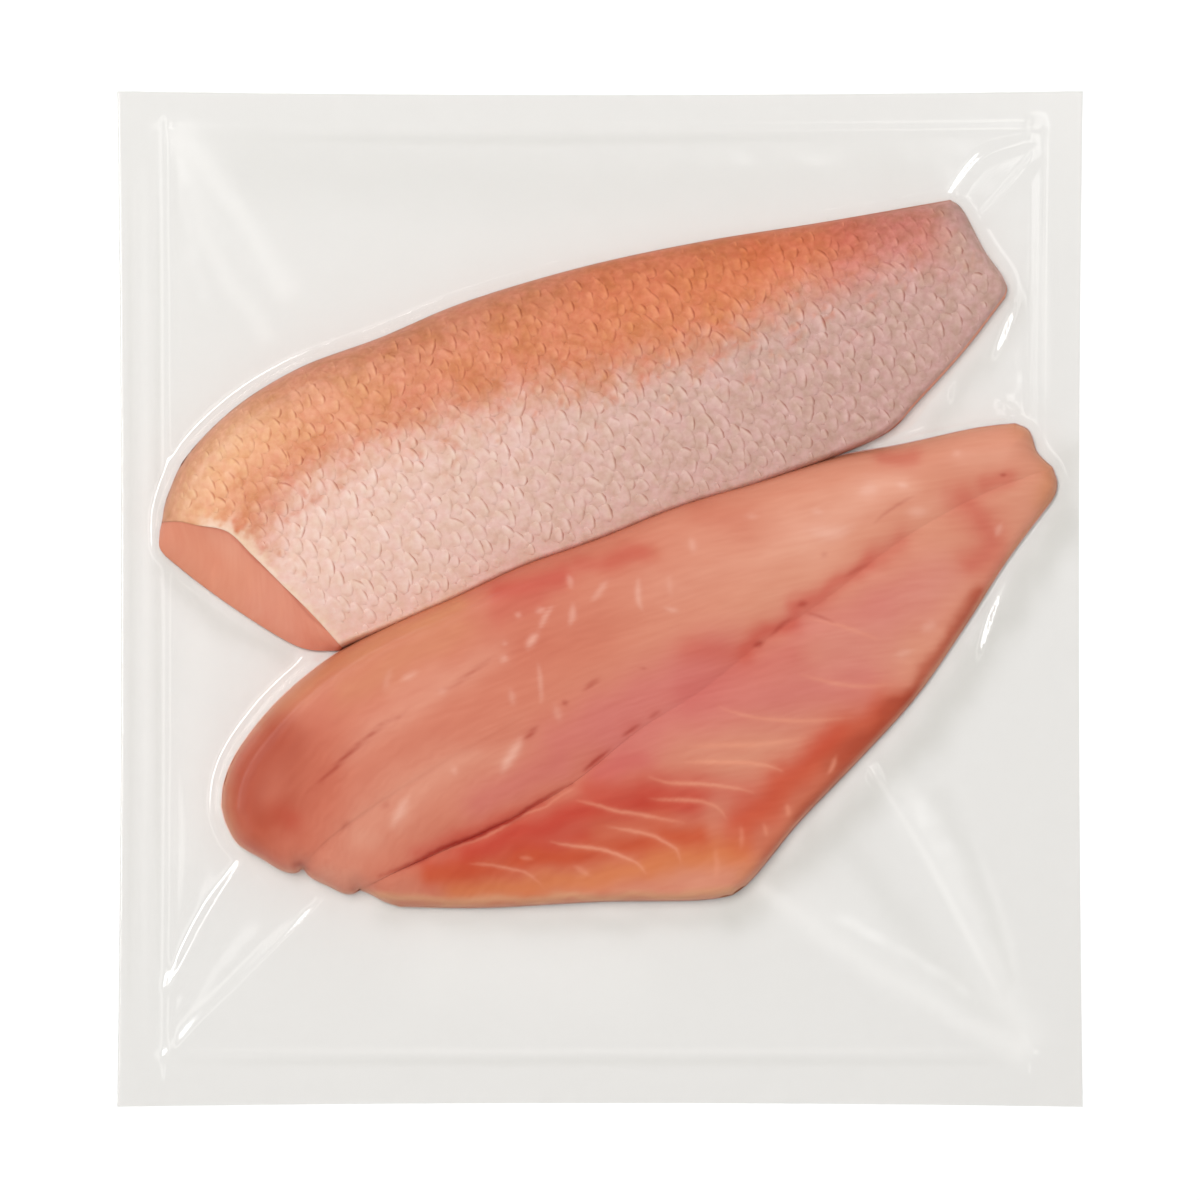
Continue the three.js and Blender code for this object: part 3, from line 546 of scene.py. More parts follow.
# %% Washes of colour in the flesh
WASHES = {
    "pale": [
        ([(-66.3, -39.8), (-50.7, -29.4), (-36.4, -19.8), (-26, -13.3)], 2.9, 0.5),
        ([(-52, -23.7), (-41.6, -18.5)], 2.6, 0.3),
        ([(-53.3, -57.5), (-46.8, -50.2), (-37.7, -43.2), (-31.2, -39.8)], 2.1, 0.5),
        ([(-70.2, -65.3), (-57.2, -53.6), (-41.6, -45.8), (-26, -39.3)], 6.2, 0.45),
        ([(-62.4, -61.4), (-58.5, -62.7)], 2.6, 0.4), ([(-26, -41.9), (-20.8, -38)], 1.3, 0.4),
        ([(15.6, 2.3), (26, 4.9), (41.6, 10.1)], 4.2, 0.3), ([(-70.2, -71), (-65, -72)], 2.6, 0.5),
    ],
    "warm": [
        ([(-70.2, -39.3), (-71.5, -49.7), (-75.4, -60.1)], 6.8, 0.7),
        ([(-59.8, -15.9), (-72.8, -31.5)], 3.1, 0.3),
        ([(-20.8, -13.3), (-10.4, -13.3), (0, -10.7)], 5.2, 0.3),
        ([(-33.8, -36.7), (-26, -34.1)], 3.1, 0.25), ([(26, 23.1), (36.4, 20.5)], 3.6, 0.4),
        ([(2.6, 10.1), (13, 12.2)], 2.6, 0.7), ([(-88.4, -62.7), (-84.5, -66.6)], 2.6, 0.5),
    ],
    "rose": [
        ([(-10.4, -36.7), (0, -30.2), (15.6, -21.1), (31.2, -13.3)], 5.2, 0.7),
        ([(0, -35.4), (10.4, -27.6), (26, -18.5)], 3.1, 0.4),
        ([(5.2, -36.7), (20.8, -28.9), (36.4, -26.3), (52, -23.7), (67.6, -21.1)], 6.8, 0.8),
        ([(52, -6.8), (62.4, -5.5), (72.8, -2.9)], 4.7, 0.6), ([(72.8, -0.3), (80.6, 3.6)], 5.2, 0.5),
        ([(-31.2, -52.3), (-20.8, -47.1), (-10.4, -43.2)], 3.6, 0.6),
    ],
    "cream": [
        ([(52, 17.9), (62.4, 21.8), (70.2, 27), (78, 29.6)], 3.6, 0.8),
        ([(46.8, 14), (57.2, 11.4)], 4.2, 0.35), ([(81.9, 23.1), (88.4, 25.7)], 2.1, 0.35),
        ([(93.6, 36.1), (104, 37.4)], 2.6, 0.4),
    ],
    "blush": [
        ([(62.4, -13.3), (72.8, -8.1), (83.2, -0.3), (88.4, 4.9)], 5.7, 0.6),
    ],
    "crimson": [
        ([(23.4, -24.2), (36.4, -18.5), (49.4, -14.6)], 4.2, 0.5), ([(0, -44.5), (10.4, -41.9)], 2.9, 0.65),
    ],
    "tan": [
        ([(-87.9, -32.2), (-78, -23.7), (-67.6, -16.4), (-57.2, -10.7), (-46.8, -6),
          (-36.4, -1.3)], 2.3, 0.8),
        ([(-65, -23.7), (-52, -15.9), (-36.4, -8.1)], 3.6, 0.5),
        ([(-95.7, -44.5), (-96.7, -52.3), (-94.9, -60.1)], 1.6, 0.7),
        ([(36.9, -71), (44.2, -63.2), (52, -54.9), (61.9, -45.5)], 1.6, 0.5),
        ([(107.9, 45.2), (113.1, 41.3), (116.5, 33.5), (115.7, 25.7)], 2.3, 0.7),
    ],
    "amber": [
        ([(-36.4, -75.1), (-20.8, -74.4), (-5.2, -72.5), (10.4, -69.4), (23.4, -66.8),
          (35.1, -65.3)], 3.1, 0.85),
        ([(13, -66.6), (26, -64), (36.4, -65.3)], 3.1, 0.6),
    ],
    "flush": [
        ([(-26, 1.8), (-18.2, 3.6), (-10.4, 5.5)], 2.9, 0.85), ([(-15.6, -0.3), (-26, -4.2)], 2.6, 0.35),
        ([(-5.2, 8.8), (10.4, 11.4)], 2.1, 0.5), ([(15.6, -47.1), (26, -48.4), (36.4, -49.7)], 3.6, 0.6),
        ([(23.4, -13.3), (36.4, -13.3)], 3.1, 0.5), ([(37.7, -12.7), (44.2, -8.6), (49.4, -5.5)], 2.3, 0.8),
        ([(50.7, -1.6), (57.2, 0.5), (62.4, 4.9), (70.2, 9.4)], 2.1, 0.7),
        ([(72.8, 11.4), (78, 15.3)], 2.6, 0.5),
        ([(93.6, 25.7), (98.8, 20.5), (101.4, 14), (96.2, 10.1)], 3.6, 0.6),
        ([(100.1, 29.6), (105.3, 31.5)], 2.3, 0.5), ([(104, 7.5), (98.8, -0.3)], 2.1, 0.4),
        ([(72.8, 36.7), (80.6, 37.2)], 1.8, 0.5),
        ([(-46.8, -65.3), (-36.4, -62.1), (-26, -58), (-15.6, -53.6)], 2.1, 0.5),
    ],
    "blood": [
        ([(-33.8, -65.8), (-20.8, -60.6), (-5.2, -55.4), (10.4, -52.8), (23.4, -52.3)], 3.9, 0.95),
        ([(-20.8, -65.3), (-5.2, -62.1)], 3.1, 0.8), ([(-2.6, -49.1), (10.4, -49.7)], 3.1, 0.6),
        ([(-44.2, -69.2), (-33.8, -67.9)], 2.1, 0.6),
        ([(36.9, -58), (45.5, -50.2), (53.3, -43.2), (61.9, -37.2)], 4.4, 0.75),
        ([(59.8, -38.7), (72.8, -30.9)], 3.6, 0.7), ([(-82.4, -55.4), (-80.1, -56.9)], 2.3, 0.5),
    ],
    "ember": [
        ([(-44.2, -71.8), (-31.2, -69.9), (-15.6, -67.3), (0, -65.3), (15.6, -62.1), (26, -60.6)], 2.9, 0.85),
        ([(0, -60.1), (15.6, -57.5)], 3.1, 0.45),
        ([(37.7, -60.1), (46.8, -51), (55.9, -43.2), (65, -36.1), (75.4, -28.9)], 4.7, 0.6),
    ],
    "russet": [
        ([(44.7, -64.7), (52.8, -56.2), (61.1, -46.5), (70.2, -37.2)], 4.2, 0.9),
    ],
    "umber": [
        ([(-83.7, -35.4), (-89.4, -43.9), (-91.8, -51.7), (-86.3, -57.5)], 5.5, 0.85),
        ([(-79.3, -39.3), (-80.6, -51)], 4.7, 0.45),
        ([(61.1, -42.4), (68.1, -36.1), (74.1, -30.4), (80.1, -25.7)], 2.3, 0.9),
        ([(79.3, -26.3), (84.5, -19), (89.7, -11.2), (98.8, 1.8)], 1.8, 0.75),
        ([(62.4, -47.1), (52, -56.2)], 1.6, 0.5), ([(-78, -69.4), (-76.4, -70.2)], 0.78, 0.7),
        ([(-63.2, -75.4), (-61.6, -75.9)], 0.78, 0.8),
    ],
    "hem": [
        ([(-59.3, -76.4), (-39, -78.3), (-20.8, -77.7), (0, -77.2), (26, -76.4), (35.4, -75.4)], 1, 0.8),
    ],
}
print(sum(len(lines) for lines in WASHES.values()), "washes in", len(WASHES), "colours")

# %% Flesh of the flesh-up fillet
places = flesh_top[..., :2].reshape(-1, 2)
slit, gristle, fleck = (strokes(places, lines) for lines in (SLITS, GRISTLE, FLECKS))
edge = to_outline(flesh_up_outline, places)
relief = 0.3 * swell(places, 26, 5) + 0.1 * swell(places, 8, 6)  # mm
relief += 0.12 * fleck - 0.1 * slit - 0.06 * gristle
flesh_top[..., 2] += (relief * smoothstep(edge, 0, 3)).reshape(flesh_top.shape[:2])
flesh_top[..., 2] = np.maximum(flesh_top[..., 2], PLATE_TOP + 0.1)
flesh_b = solid_below("flesh_of_flesh_up_fillet", flesh_top, PLATE_TOP)
for name, values in (("slit", slit), ("gristle", gristle), ("fleck", fleck),
                     ("halo", strokes(places, SLITS[:4], 3.5)), ("sheen", strokes(places, GRISTLE, 3)),
                     ("outer_rim", 1 - smoothstep(edge, 0.2, 1.6)),
                     *((name, washes(places, lines)) for name, lines in WASHES.items())):
    paint(flesh_b, name, fill_to(flesh_b, values))

# %% Skin of the flesh-up fillet, a thin plate under it that shows as a fine line round its edge
def plate(name, outline, bottom, top):
    """A thin flat plate with the given outline, anticlockwise from above."""
    count = len(outline)
    points = np.vstack([np.column_stack([outline, np.full(count, height)]) for height in (top, bottom)])
    above, below = np.arange(count), count + np.arange(count)
    faces = [above.tolist(), below[::-1].tolist(), *wall(above, below).tolist()]
    return new_piece(name, points, faces)


outline_places = flesh_up_outline.points[:-1]
step = np.roll(outline_places, -1, axis=0) - np.roll(outline_places, 1, axis=0)
outwards = np.stack([step[:, 1], -step[:, 0]], axis=1)
outwards /= np.maximum(np.linalg.norm(outwards, axis=1)[:, None], 1e-6)
STANDS_OUT = 0.25  # so that it shows as a fine line
skin_b = plate("skin_of_flesh_up_fillet", outline_places + STANDS_OUT * outwards, ROOT, PLATE_TOP)

# %% [markdown]
# ## Scale pockets
# The fish has been scaled. What is left on the skin is a pattern of small pockets, each a soft flap like a
# roof tile with its free end towards the tail. About a thousand of them repeat, so Geometry Nodes make them.
# The tree shapes one flap from its sizes, puts it on every place with a little unevenness, lowers each of its
# points on to the skin with a ray, and makes it real mesh. Each point keeps three values for the material:
# "tip", from 0 at the root to 1 at the free end, one for how strong the painted highlight on the raised part
# and the painted shadow at the free end are, and "middle", which fades both towards the sides.

# %% One small function that adds a node
def add(tree, kind, inputs=None, **settings):
    """Adds a node. Settings are its own properties. Inputs are its sockets, each a value, another node's
    socket, or another node, which then gives the first of its outputs that is in use."""
    node = tree.nodes.new(kind)
    for name, value in settings.items():
        setattr(node, name, value)
    for key, value in (inputs or {}).items():
        if isinstance(value, bpy.types.Node):
            value = next(socket for socket in value.outputs if socket.enabled)
        if isinstance(value, bpy.types.NodeSocket):
            tree.links.new(value, node.inputs[key])
        else:
            node.inputs[key].default_value = value
    return node


def linear(hex_colour):
    """An sRGB hex colour as the linear values that Blender works with."""
    values = [int(hex_colour[i:i + 2], 16) / 255 for i in (1, 3, 5)]
    return (*[c / 12.92 if c <= 0.04045 else ((c + 0.055) / 1.055) ** 2.4 for c in values], 1)


print("middle grey, #bcbcbc, is", round(linear("#bcbcbc")[0], 2), "as a linear value")

# %% What the tree for the scale pockets is given
POCKET_SIZES = {"Length": 5.8 * MM, "Width": 6.6 * MM, "Thickness": 0.35 * MM, "Lift": 0.22 * MM,
                "Corner": 0.6 * MM}


def pocket_group():
    """An empty tree with its named inputs."""
    tree = bpy.data.node_groups.new("scale pockets", "GeometryNodeTree")
    for name, kind, value in (
        ("Places", "Geometry", None), *((name, "Float", size) for name, size in POCKET_SIZES.items()),
        ("Seed", "Int", 4), ("Skin", "Object", None), ("Material", "Material", None),
    ):
        socket = tree.interface.new_socket(name, in_out="INPUT", socket_type="NodeSocket" + kind)
        if value is not None:
            socket.default_value = value
    tree.interface.new_socket("Pockets", in_out="OUTPUT", socket_type="NodeSocketGeometry")
    return tree


print("a pocket in mm:", {name: round(size / MM, 2) for name, size in POCKET_SIZES.items()})

# %% The shape of one flap
def one_flap(tree, given):
    """A rounded flap that rises from its root, has its free end at the origin and points along +X."""
    flap = add(tree, "GeometryNodeMeshGrid", {"Size X": 1, "Size Y": 2, "Vertices X": 6, "Vertices Y": 5})
    place = add(tree, "ShaderNodeSeparateXYZ", {0: add(tree, "GeometryNodeInputPosition")}).outputs
    to_end = add(tree, "ShaderNodeMath", {0: 0.5, 1: place["X"]}, operation="SUBTRACT")
    to_end = add(tree, "ShaderNodeMath", {0: to_end, 1: 1.7}, operation="POWER")
    tip = add(tree, "ShaderNodeMath", {0: 1, 1: to_end}, operation="SUBTRACT")
    side = add(tree, "ShaderNodeMath", {0: place["Y"]}, operation="ABSOLUTE")

    corner = add(tree, "ShaderNodeMath", {0: side, 1: 2.2}, operation="POWER")
    for factor in (given["Corner"], tip):
        corner = add(tree, "ShaderNodeMath", {0: corner, 1: factor}, operation="MULTIPLY")
    back = add(tree, "ShaderNodeMath", {0: to_end, 1: given["Length"], 2: corner}, operation="MULTIPLY_ADD")
    along = add(tree, "ShaderNodeMath", {0: back, 1: -1}, operation="MULTIPLY")
    half_wide = add(tree, "ShaderNodeMath", {0: given["Width"], 1: 0.5}, operation="MULTIPLY")
    across = add(tree, "ShaderNodeMath", {0: place["Y"], 1: half_wide}, operation="MULTIPLY")

    rise = add(tree, "ShaderNodeMapRange", {0: tip, 1: 0, 2: 0.9, 3: -0.3, 4: 1})
    fall = add(tree, "ShaderNodeMapRange", {0: tip, 1: 0.88, 2: 1, 3: 0, 4: 1.3})
    sides = add(tree, "ShaderNodeMath", {0: side, 1: 2}, operation="POWER")
    fall = add(tree, "ShaderNodeMath", {0: fall, 1: sides}, operation="ADD")
    rise = add(tree, "ShaderNodeMath", {0: rise, 1: fall}, operation="SUBTRACT")
    up = add(tree, "ShaderNodeMath", {0: rise, 1: given["Lift"]}, operation="MULTIPLY")

    middle = add(tree, "ShaderNodeMath", {0: 1, 1: sides}, operation="SUBTRACT")
    for name, value in (("tip", tip), ("middle", middle)):
        flap = add(tree, "GeometryNodeStoreNamedAttribute", {"Geometry": flap, "Name": name, "Value": value},
                   data_type="FLOAT", domain="POINT")
    shape = add(tree, "ShaderNodeCombineXYZ", {0: along, 1: across, 2: up})
    return add(tree, "GeometryNodeSetPosition", {"Geometry": flap, "Position": shape})


# %% The whole tree
def pocket_tree():
    tree = pocket_group()
    given = add(tree, "NodeGroupInput").outputs
    flap = one_flap(tree, given)
    down = add(tree, "ShaderNodeMath", {0: given["Thickness"], 1: -1}, operation="MULTIPLY")
    down = add(tree, "ShaderNodeCombineXYZ", {2: down})
    lower = add(tree, "GeometryNodeExtrudeMesh", {"Mesh": flap, "Offset": down, "Individual": False})
    both = add(tree, "GeometryNodeJoinGeometry", {0: add(tree, "GeometryNodeFlipFaces", {0: lower})})
    tree.links.new(flap.outputs[0], both.inputs[0])
    closed = add(tree, "GeometryNodeMergeByDistance", {0: both, "Distance": 0.005 * MM})

    turn = add(tree, "GeometryNodeInputNamedAttribute", {"Name": "turn"}, data_type="FLOAT_VECTOR")
    uneven = add(tree, "FunctionNodeRandomValue", {0: (0.85, 0.5, 0.5), 1: (1.1, 1.15, 1.3),
                                                   "Seed": given["Seed"]}, data_type="FLOAT_VECTOR")
    fit = add(tree, "GeometryNodeInputNamedAttribute", {"Name": "fit"}, data_type="FLOAT")
    uneven = add(tree, "ShaderNodeVectorMath", {0: uneven, "Scale": fit}, operation="SCALE")
    laid = add(tree, "GeometryNodeInstanceOnPoints", {"Points": given["Places"], "Instance": closed,
                                                      "Rotation": turn, "Scale": uneven})
    # how strongly each flap shows its painted highlight and painted shadow, at random from 0.1 to 1
    fold = add(tree, "FunctionNodeRandomValue", {2: 0.1, 3: 1.0, "Seed": given["Seed"]}, data_type="FLOAT")
    laid = add(tree, "GeometryNodeStoreNamedAttribute", {"Geometry": laid, "Name": "fold", "Value": fold},
               data_type="FLOAT", domain="INSTANCE")
    real = add(tree, "GeometryNodeRealizeInstances", {0: laid})

    here = add(tree, "ShaderNodeSeparateXYZ", {0: add(tree, "GeometryNodeInputPosition")}).outputs
    above = add(tree, "ShaderNodeCombineXYZ", {0: here["X"], 1: here["Y"], 2: HIGH})
    skin_mesh = add(tree, "GeometryNodeObjectInfo", {"Object": given["Skin"]}).outputs["Geometry"]
    ray = add(tree, "GeometryNodeRaycast", {"Target Geometry": skin_mesh, "Source Position": above,
                                            "Ray Direction": DOWN, "Ray Length": 2 * HIGH}).outputs
    ground = add(tree, "GeometryNodeInputNamedAttribute", {"Name": "ground"}, data_type="FLOAT")
    level = add(tree, "ShaderNodeSeparateXYZ", {0: ray["Hit Position"]}).outputs["Z"]
    level = add(tree, "GeometryNodeSwitch", {0: ray["Is Hit"], 1: ground, 2: level}, input_type="FLOAT")
    level = add(tree, "ShaderNodeMath", {0: here["Z"], 1: level}, operation="ADD")
    on_skin = add(tree, "ShaderNodeCombineXYZ", {0: here["X"], 1: here["Y"], 2: level})
    real = add(tree, "GeometryNodeSetPosition", {"Geometry": real, "Position": on_skin})
    real = add(tree, "GeometryNodeSetMaterial", {"Geometry": real, "Material": given["Material"]})
    add(tree, "NodeGroupOutput", {0: real})
    return tree


# %% Places for the pockets, on the skin
TAILWARD = np.radians(24.8)  # the way the fish points, from head to tail
SAME_ROW, ROW_PITCH = 4.8, 2.3  # between pockets of one row, and between rows, which are staggered by half
REACH = 130  # from the middle of the pouch, past both ends of the skin
UNEVEN, TURNED = 0.6, 0.3  # spread of the places in mm, and of the ways they point in radians
FULL_SIZE_FROM = 5  # mm from the skin's edge, and smaller pockets nearer to it
BARE_EDGE = 1.3
ROOT_BEHIND, ROOT_HALF = 6.6, 3.9  # the largest flap's root corners, behind its free end and to each side

skin_tree = BVHTree.FromObject(skin, bpy.context.evaluated_depsgraph_get())
skin_outline = ring((skin_belly, True), (skin_tail, False), (skin_back, False), (skin_head, True))
ahead = np.array([np.cos(TAILWARD), np.sin(TAILWARD)])
sideways = np.array([-ahead[1], ahead[0]])


def skin_at(place):
    """The height of the skin in mm at a place, or 0 where there is none."""
    hit, *_ = skin_tree.ray_cast(Vector((*(place * MM), HIGH)), Vector(DOWN))
    return 0 if hit is None else hit.z / MM


def pocket_places():
    """For every pocket the place of its free end, its height, the way it points and how big it may be."""
    draw = np.random.default_rng(21)
    row, column = np.meshgrid(np.arange(-REACH, REACH, ROW_PITCH), np.arange(-REACH, REACH, SAME_ROW))
    column += (np.arange(row.shape[1]) % 2) * SAME_ROW / 2
    row, column = (values.ravel() + draw.normal(0, UNEVEN, values.size) for values in (row, column))
    ends = row[:, None] * ahead + column[:, None] * sideways
    roots = ends - 3 * ahead
    height = np.array([min(skin_at(end), skin_at(root)) for end, root in zip(ends, roots)])
    to_edge = np.minimum(to_outline(skin_outline, ends), to_outline(skin_outline, roots))
    kept = (height > 0) & (to_edge > BARE_EDGE)
    turn = TAILWARD + draw.normal(0, TURNED, len(ends))
    fit = np.clip(to_edge / FULL_SIZE_FROM, 0, 1)
    way = np.column_stack([np.cos(turn), np.sin(turn)])
    side = np.column_stack([-np.sin(turn), np.cos(turn)])
    for half in (-ROOT_HALF, ROOT_HALF):  # the two corners of its root lie on the skin too
        corners = ends + fit[:, None] * (half * side - ROOT_BEHIND * way)
        kept &= [skin_at(corner) > 0 for corner in corners]
    return np.column_stack([ends, height, turn, fit])[kept]


pocket_spots = pocket_places()
print(len(pocket_spots), "scale pockets")

# %% [markdown]
# ## Colours and finishes
# Raw fish is wet, so flesh and skin both have a soft sheen. Over them clings the film, and where it touches
# the wet fish it mirrors the room less than where there is air behind it. A material starts with a colour
# that changes towards the tail, and lays the painted strokes and washes over it one after the other.

# %% Raw flesh
def new_material(name):
    material = bpy.data.materials.new(name)
    material.use_nodes = True
    material.node_tree.nodes.clear()
    return material, material.node_tree


def tinted(tree, colour, tints):
    """Lays each tint over a colour, as strongly as its painted attribute and its own strength say."""
    for name, hex_colour, strength in tints:
        share = add(tree, "ShaderNodeAttribute", attribute_name=name).outputs["Fac"]
        share = add(tree, "ShaderNodeMath", {0: share, 1: strength}, operation="MULTIPLY")
        colour = add(tree, "ShaderNodeMix", {0: share, 6: colour, 7: linear(hex_colour)}, data_type="RGBA")
    return colour


FLESH_TINTS = (  # in the order that they are laid on
    ("pale", "#e29e86", 1), ("warm", "#c96a52", 1), ("rose", "#d3766e", 1), ("cream", "#e8a890", 1),
    ("blush", "#da8a7c", 1), ("crimson", "#cc5f5c", 1), ("tan", "#d48c66", 1), ("amber", "#d97d4e", 1),
    ("cut", "#f09a80", 1),
    ("flush", "#cb5b4c", 1), ("blood", "#c74636", 1), ("ember", "#cc5230", 1), ("russet", "#c6684e", 1),
    ("umber", "#b04a32", 1), ("hem", "#dc9e78", 1), ("outer_rim", "#cf9068", 0.4), ("sheen", "#e59678", 0.22),
    ("halo", "#c8503c", 0.35), ("gristle", "#f0a284", 0.7), ("fleck", "#efb8a6", 0.9), ("slit", "#a22c20", 1),
)
WET = {"Roughness": 0.42, "IOR": 1.38, "Specular IOR Level": 0.2}


def raw_flesh(name):
    """Raw snapper flesh: salmon pink and wet, with soft clouds and fine fibres along the muscle."""
    material, tree = new_material(name)
    to_tail = add(tree, "ShaderNodeAttribute", attribute_name="to_tail").outputs["Fac"]
    colour = add(tree, "ShaderNodeMix", {0: to_tail, 6: linear("#d37e66"), 7: linear("#dc9379")},
                 data_type="RGBA")
    colour = tinted(tree, colour, FLESH_TINTS)
    grain = add(tree, "ShaderNodeAttribute", attribute_name="grain").outputs["Vector"]
    for size, detail, strength in ((9, 2, 0.25), (1.4, 3, 0.2)):
        noise = add(tree, "ShaderNodeTexNoise", {"Vector": grain, "Scale": 1 / (size * MM), "Detail": detail})
        noise = add(tree, "ShaderNodeMapRange", {0: noise, 1: 0.3, 2: 0.7, 3: 0.32, 4: 0.68})
        colour = add(tree, "ShaderNodeMix", {0: strength, 6: colour, 7: noise}, data_type="RGBA",
                     blend_type="SOFT_LIGHT")
    bump = add(tree, "ShaderNodeBump", {"Strength": 0.2, "Distance": 0.12 * MM, "Height": noise})
    surface = add(tree, "ShaderNodeBsdfPrincipled", {"Base Color": colour, "Normal": bump, **WET})
    add(tree, "ShaderNodeOutputMaterial", {"Surface": surface})
    return material


# %% Scaled skin
SKIN_TINTS = (
    ("back", "#d4805c", 1), ("bronze", "#c87a4e", 0.6), ("gold", "#f2b890", 1), ("ember", "#de6f46", 1),
    ("cherry", "#cc6656", 1), ("speck", "#cf7a5c", 1), ("pale_edge_and_highlight", "#f3d8c2", 1),
    ("outer_rim", "#bf8068", 1),
)


def scaled_skin(name):
    """Scaled snapper skin: silvery pink, an orange back, painted light and shade on each pocket and the back.
    """
    material, tree = new_material(name)
    to_tail, flank_shade, tip, fold, middle = (
        add(tree, "ShaderNodeAttribute", attribute_name=painted).outputs["Fac"]
        for painted in ("to_tail", "flank_shade", "tip", "fold", "middle"))
    colour = add(tree, "ShaderNodeMix", {0: to_tail, 6: linear("#efcabd"), 7: linear("#c7a199")},
                 data_type="RGBA")
    colour = tinted(tree, colour, SKIN_TINTS)
    # painted shade: darker along the skin's round back
    colour = add(tree, "ShaderNodeMix", {0: flank_shade, 6: colour, 7: linear("#e9e9ea")}, data_type="RGBA",
                 blend_type="MULTIPLY")
    where = add(tree, "ShaderNodeTexCoord").outputs["Object"]
    for size, detail, low, high, strength in (
        (3.4, 2, "#b0b4ab", "#cbc1c4", 1), (1.6, 3, "#9c9c9c", "#d8d8d8", 0.4),
    ):
        noise = add(tree, "ShaderNodeTexNoise", {"Vector": where, "Scale": 1 / (size * MM), "Detail": detail})
        noise = add(tree, "ShaderNodeMapRange", {0: noise, 1: 0.35, 2: 0.65})
        shade = add(tree, "ShaderNodeMix", {0: noise, 6: linear(low), 7: linear(high)}, data_type="RGBA")
        colour = add(tree, "ShaderNodeMix", {0: strength, 6: colour, 7: shade}, data_type="RGBA",
                     blend_type="SOFT_LIGHT")
    bump = add(tree, "ShaderNodeBump", {"Strength": 0.2, "Distance": 0.12 * MM, "Height": noise})

    # painted light: a highlight on each flap's raised part, and a painted shadow along its free end
    end_shadow = add(tree, "ShaderNodeMapRange", {0: tip, 1: 0.84, 2: 0.94})
    lit_rise = add(tree, "ShaderNodeMapRange", {0: tip, 1: 0.55, 2: 0.85})
    lit_rise = add(tree, "ShaderNodeMath", {0: lit_rise, 1: end_shadow}, operation="SUBTRACT", use_clamp=True)
    for share, shade, blend in ((lit_rise, "#e6e3e0", "SOFT_LIGHT"), (end_shadow, "#d3b3ab", "MULTIPLY")):
        for factor in (middle, fold):
            share = add(tree, "ShaderNodeMath", {0: share, 1: factor}, operation="MULTIPLY")
        colour = add(tree, "ShaderNodeMix", {0: share, 6: colour, 7: linear(shade)}, data_type="RGBA",
                     blend_type=blend)
    surface = add(tree, "ShaderNodeBsdfPrincipled", {"Base Color": colour, "Normal": bump, **WET})
    add(tree, "ShaderNodeOutputMaterial", {"Surface": surface})
    return material


# %% Film
def clear_film(name):
    """Nylon and polyethylene film: it lets most light through, faintly grey, and mirrors a little at each
    face, more where it is steep and less where it clings to the wet fish."""
    material, tree = new_material(name)
    facing = add(tree, "ShaderNodeLayerWeight", {"Blend": 0.5}).outputs["Facing"]
    steep = add(tree, "ShaderNodeMath", {0: facing, 1: 5}, operation="POWER")
    mirrored = add(tree, "ShaderNodeMapRange", {0: steep, 3: 0.06, 4: 0.9})
    free = add(tree, "ShaderNodeAttribute", attribute_name="free").outputs["Fac"]
    mirrored = add(tree, "ShaderNodeMath", {0: mirrored, 1: free}, operation="MULTIPLY")
    tint = linear("#f1f0ee")
    # painted shade and a painted reflection of the room, laid into the film's faint grey
    for name, shade in (("shaded", "#e0dfdb"), ("lit", "#fefdfb")):
        share = add(tree, "ShaderNodeAttribute", attribute_name=name).outputs["Fac"]
        tint = add(tree, "ShaderNodeMix", {0: share, 6: tint, 7: linear(shade)}, data_type="RGBA")
    through = add(tree, "ShaderNodeBsdfTransparent", {"Color": tint})
    gloss = add(tree, "ShaderNodeBsdfGlossy", {"Color": (1, 1, 1, 1), "Roughness": 0.16})
    surface = add(tree, "ShaderNodeMixShader", {0: mirrored, 1: through, 2: gloss})
    add(tree, "ShaderNodeOutputMaterial", {"Surface": surface})
    return material


flesh_material = raw_flesh("raw_snapper_flesh")
skin_material = scaled_skin("scaled_snapper_skin")
film_material = clear_film("clear_pouch_film")
print("materials made")

# %% Colour of the skin, by place
BACK_BAND = ((-104, -91, -78, -52, -26, 0, 26, 52, 78, 94), (26, 28.5, 28, 27, 28.5, 31, 29, 20, 9, 3))
BACK_SHARE = ((-104, -50, 0, 40, 60, 90), (0.92, 0.88, 0.97, 1, 0.62, 0.25))
SKIN_WASHES = {
    "gold": [([(-108, 24), (-102, 32), (-94, 42)], 9, 0.95), ([(-84, 46), (-66, 52)], 9, 0.35)],
    "ember": [([(42, 90), (52, 92), (62, 94)], 6, 0.6), ([(0, 84), (26, 88)], 9, 0.3)],
    "cherry": [([(66, 95), (80, 97)], 6, 0.5), ([(62, 84), (84, 92)], 6, 0.35)],
}
DARK_EDGE = 0.7  # mm of the skin's outer edge that the light doesn't reach


def points_of(piece):
    values = np.zeros(len(piece.data.vertices) * 3)
    piece.data.vertices.foreach_get("co", values)
    return values.reshape(-1, 3) / MM


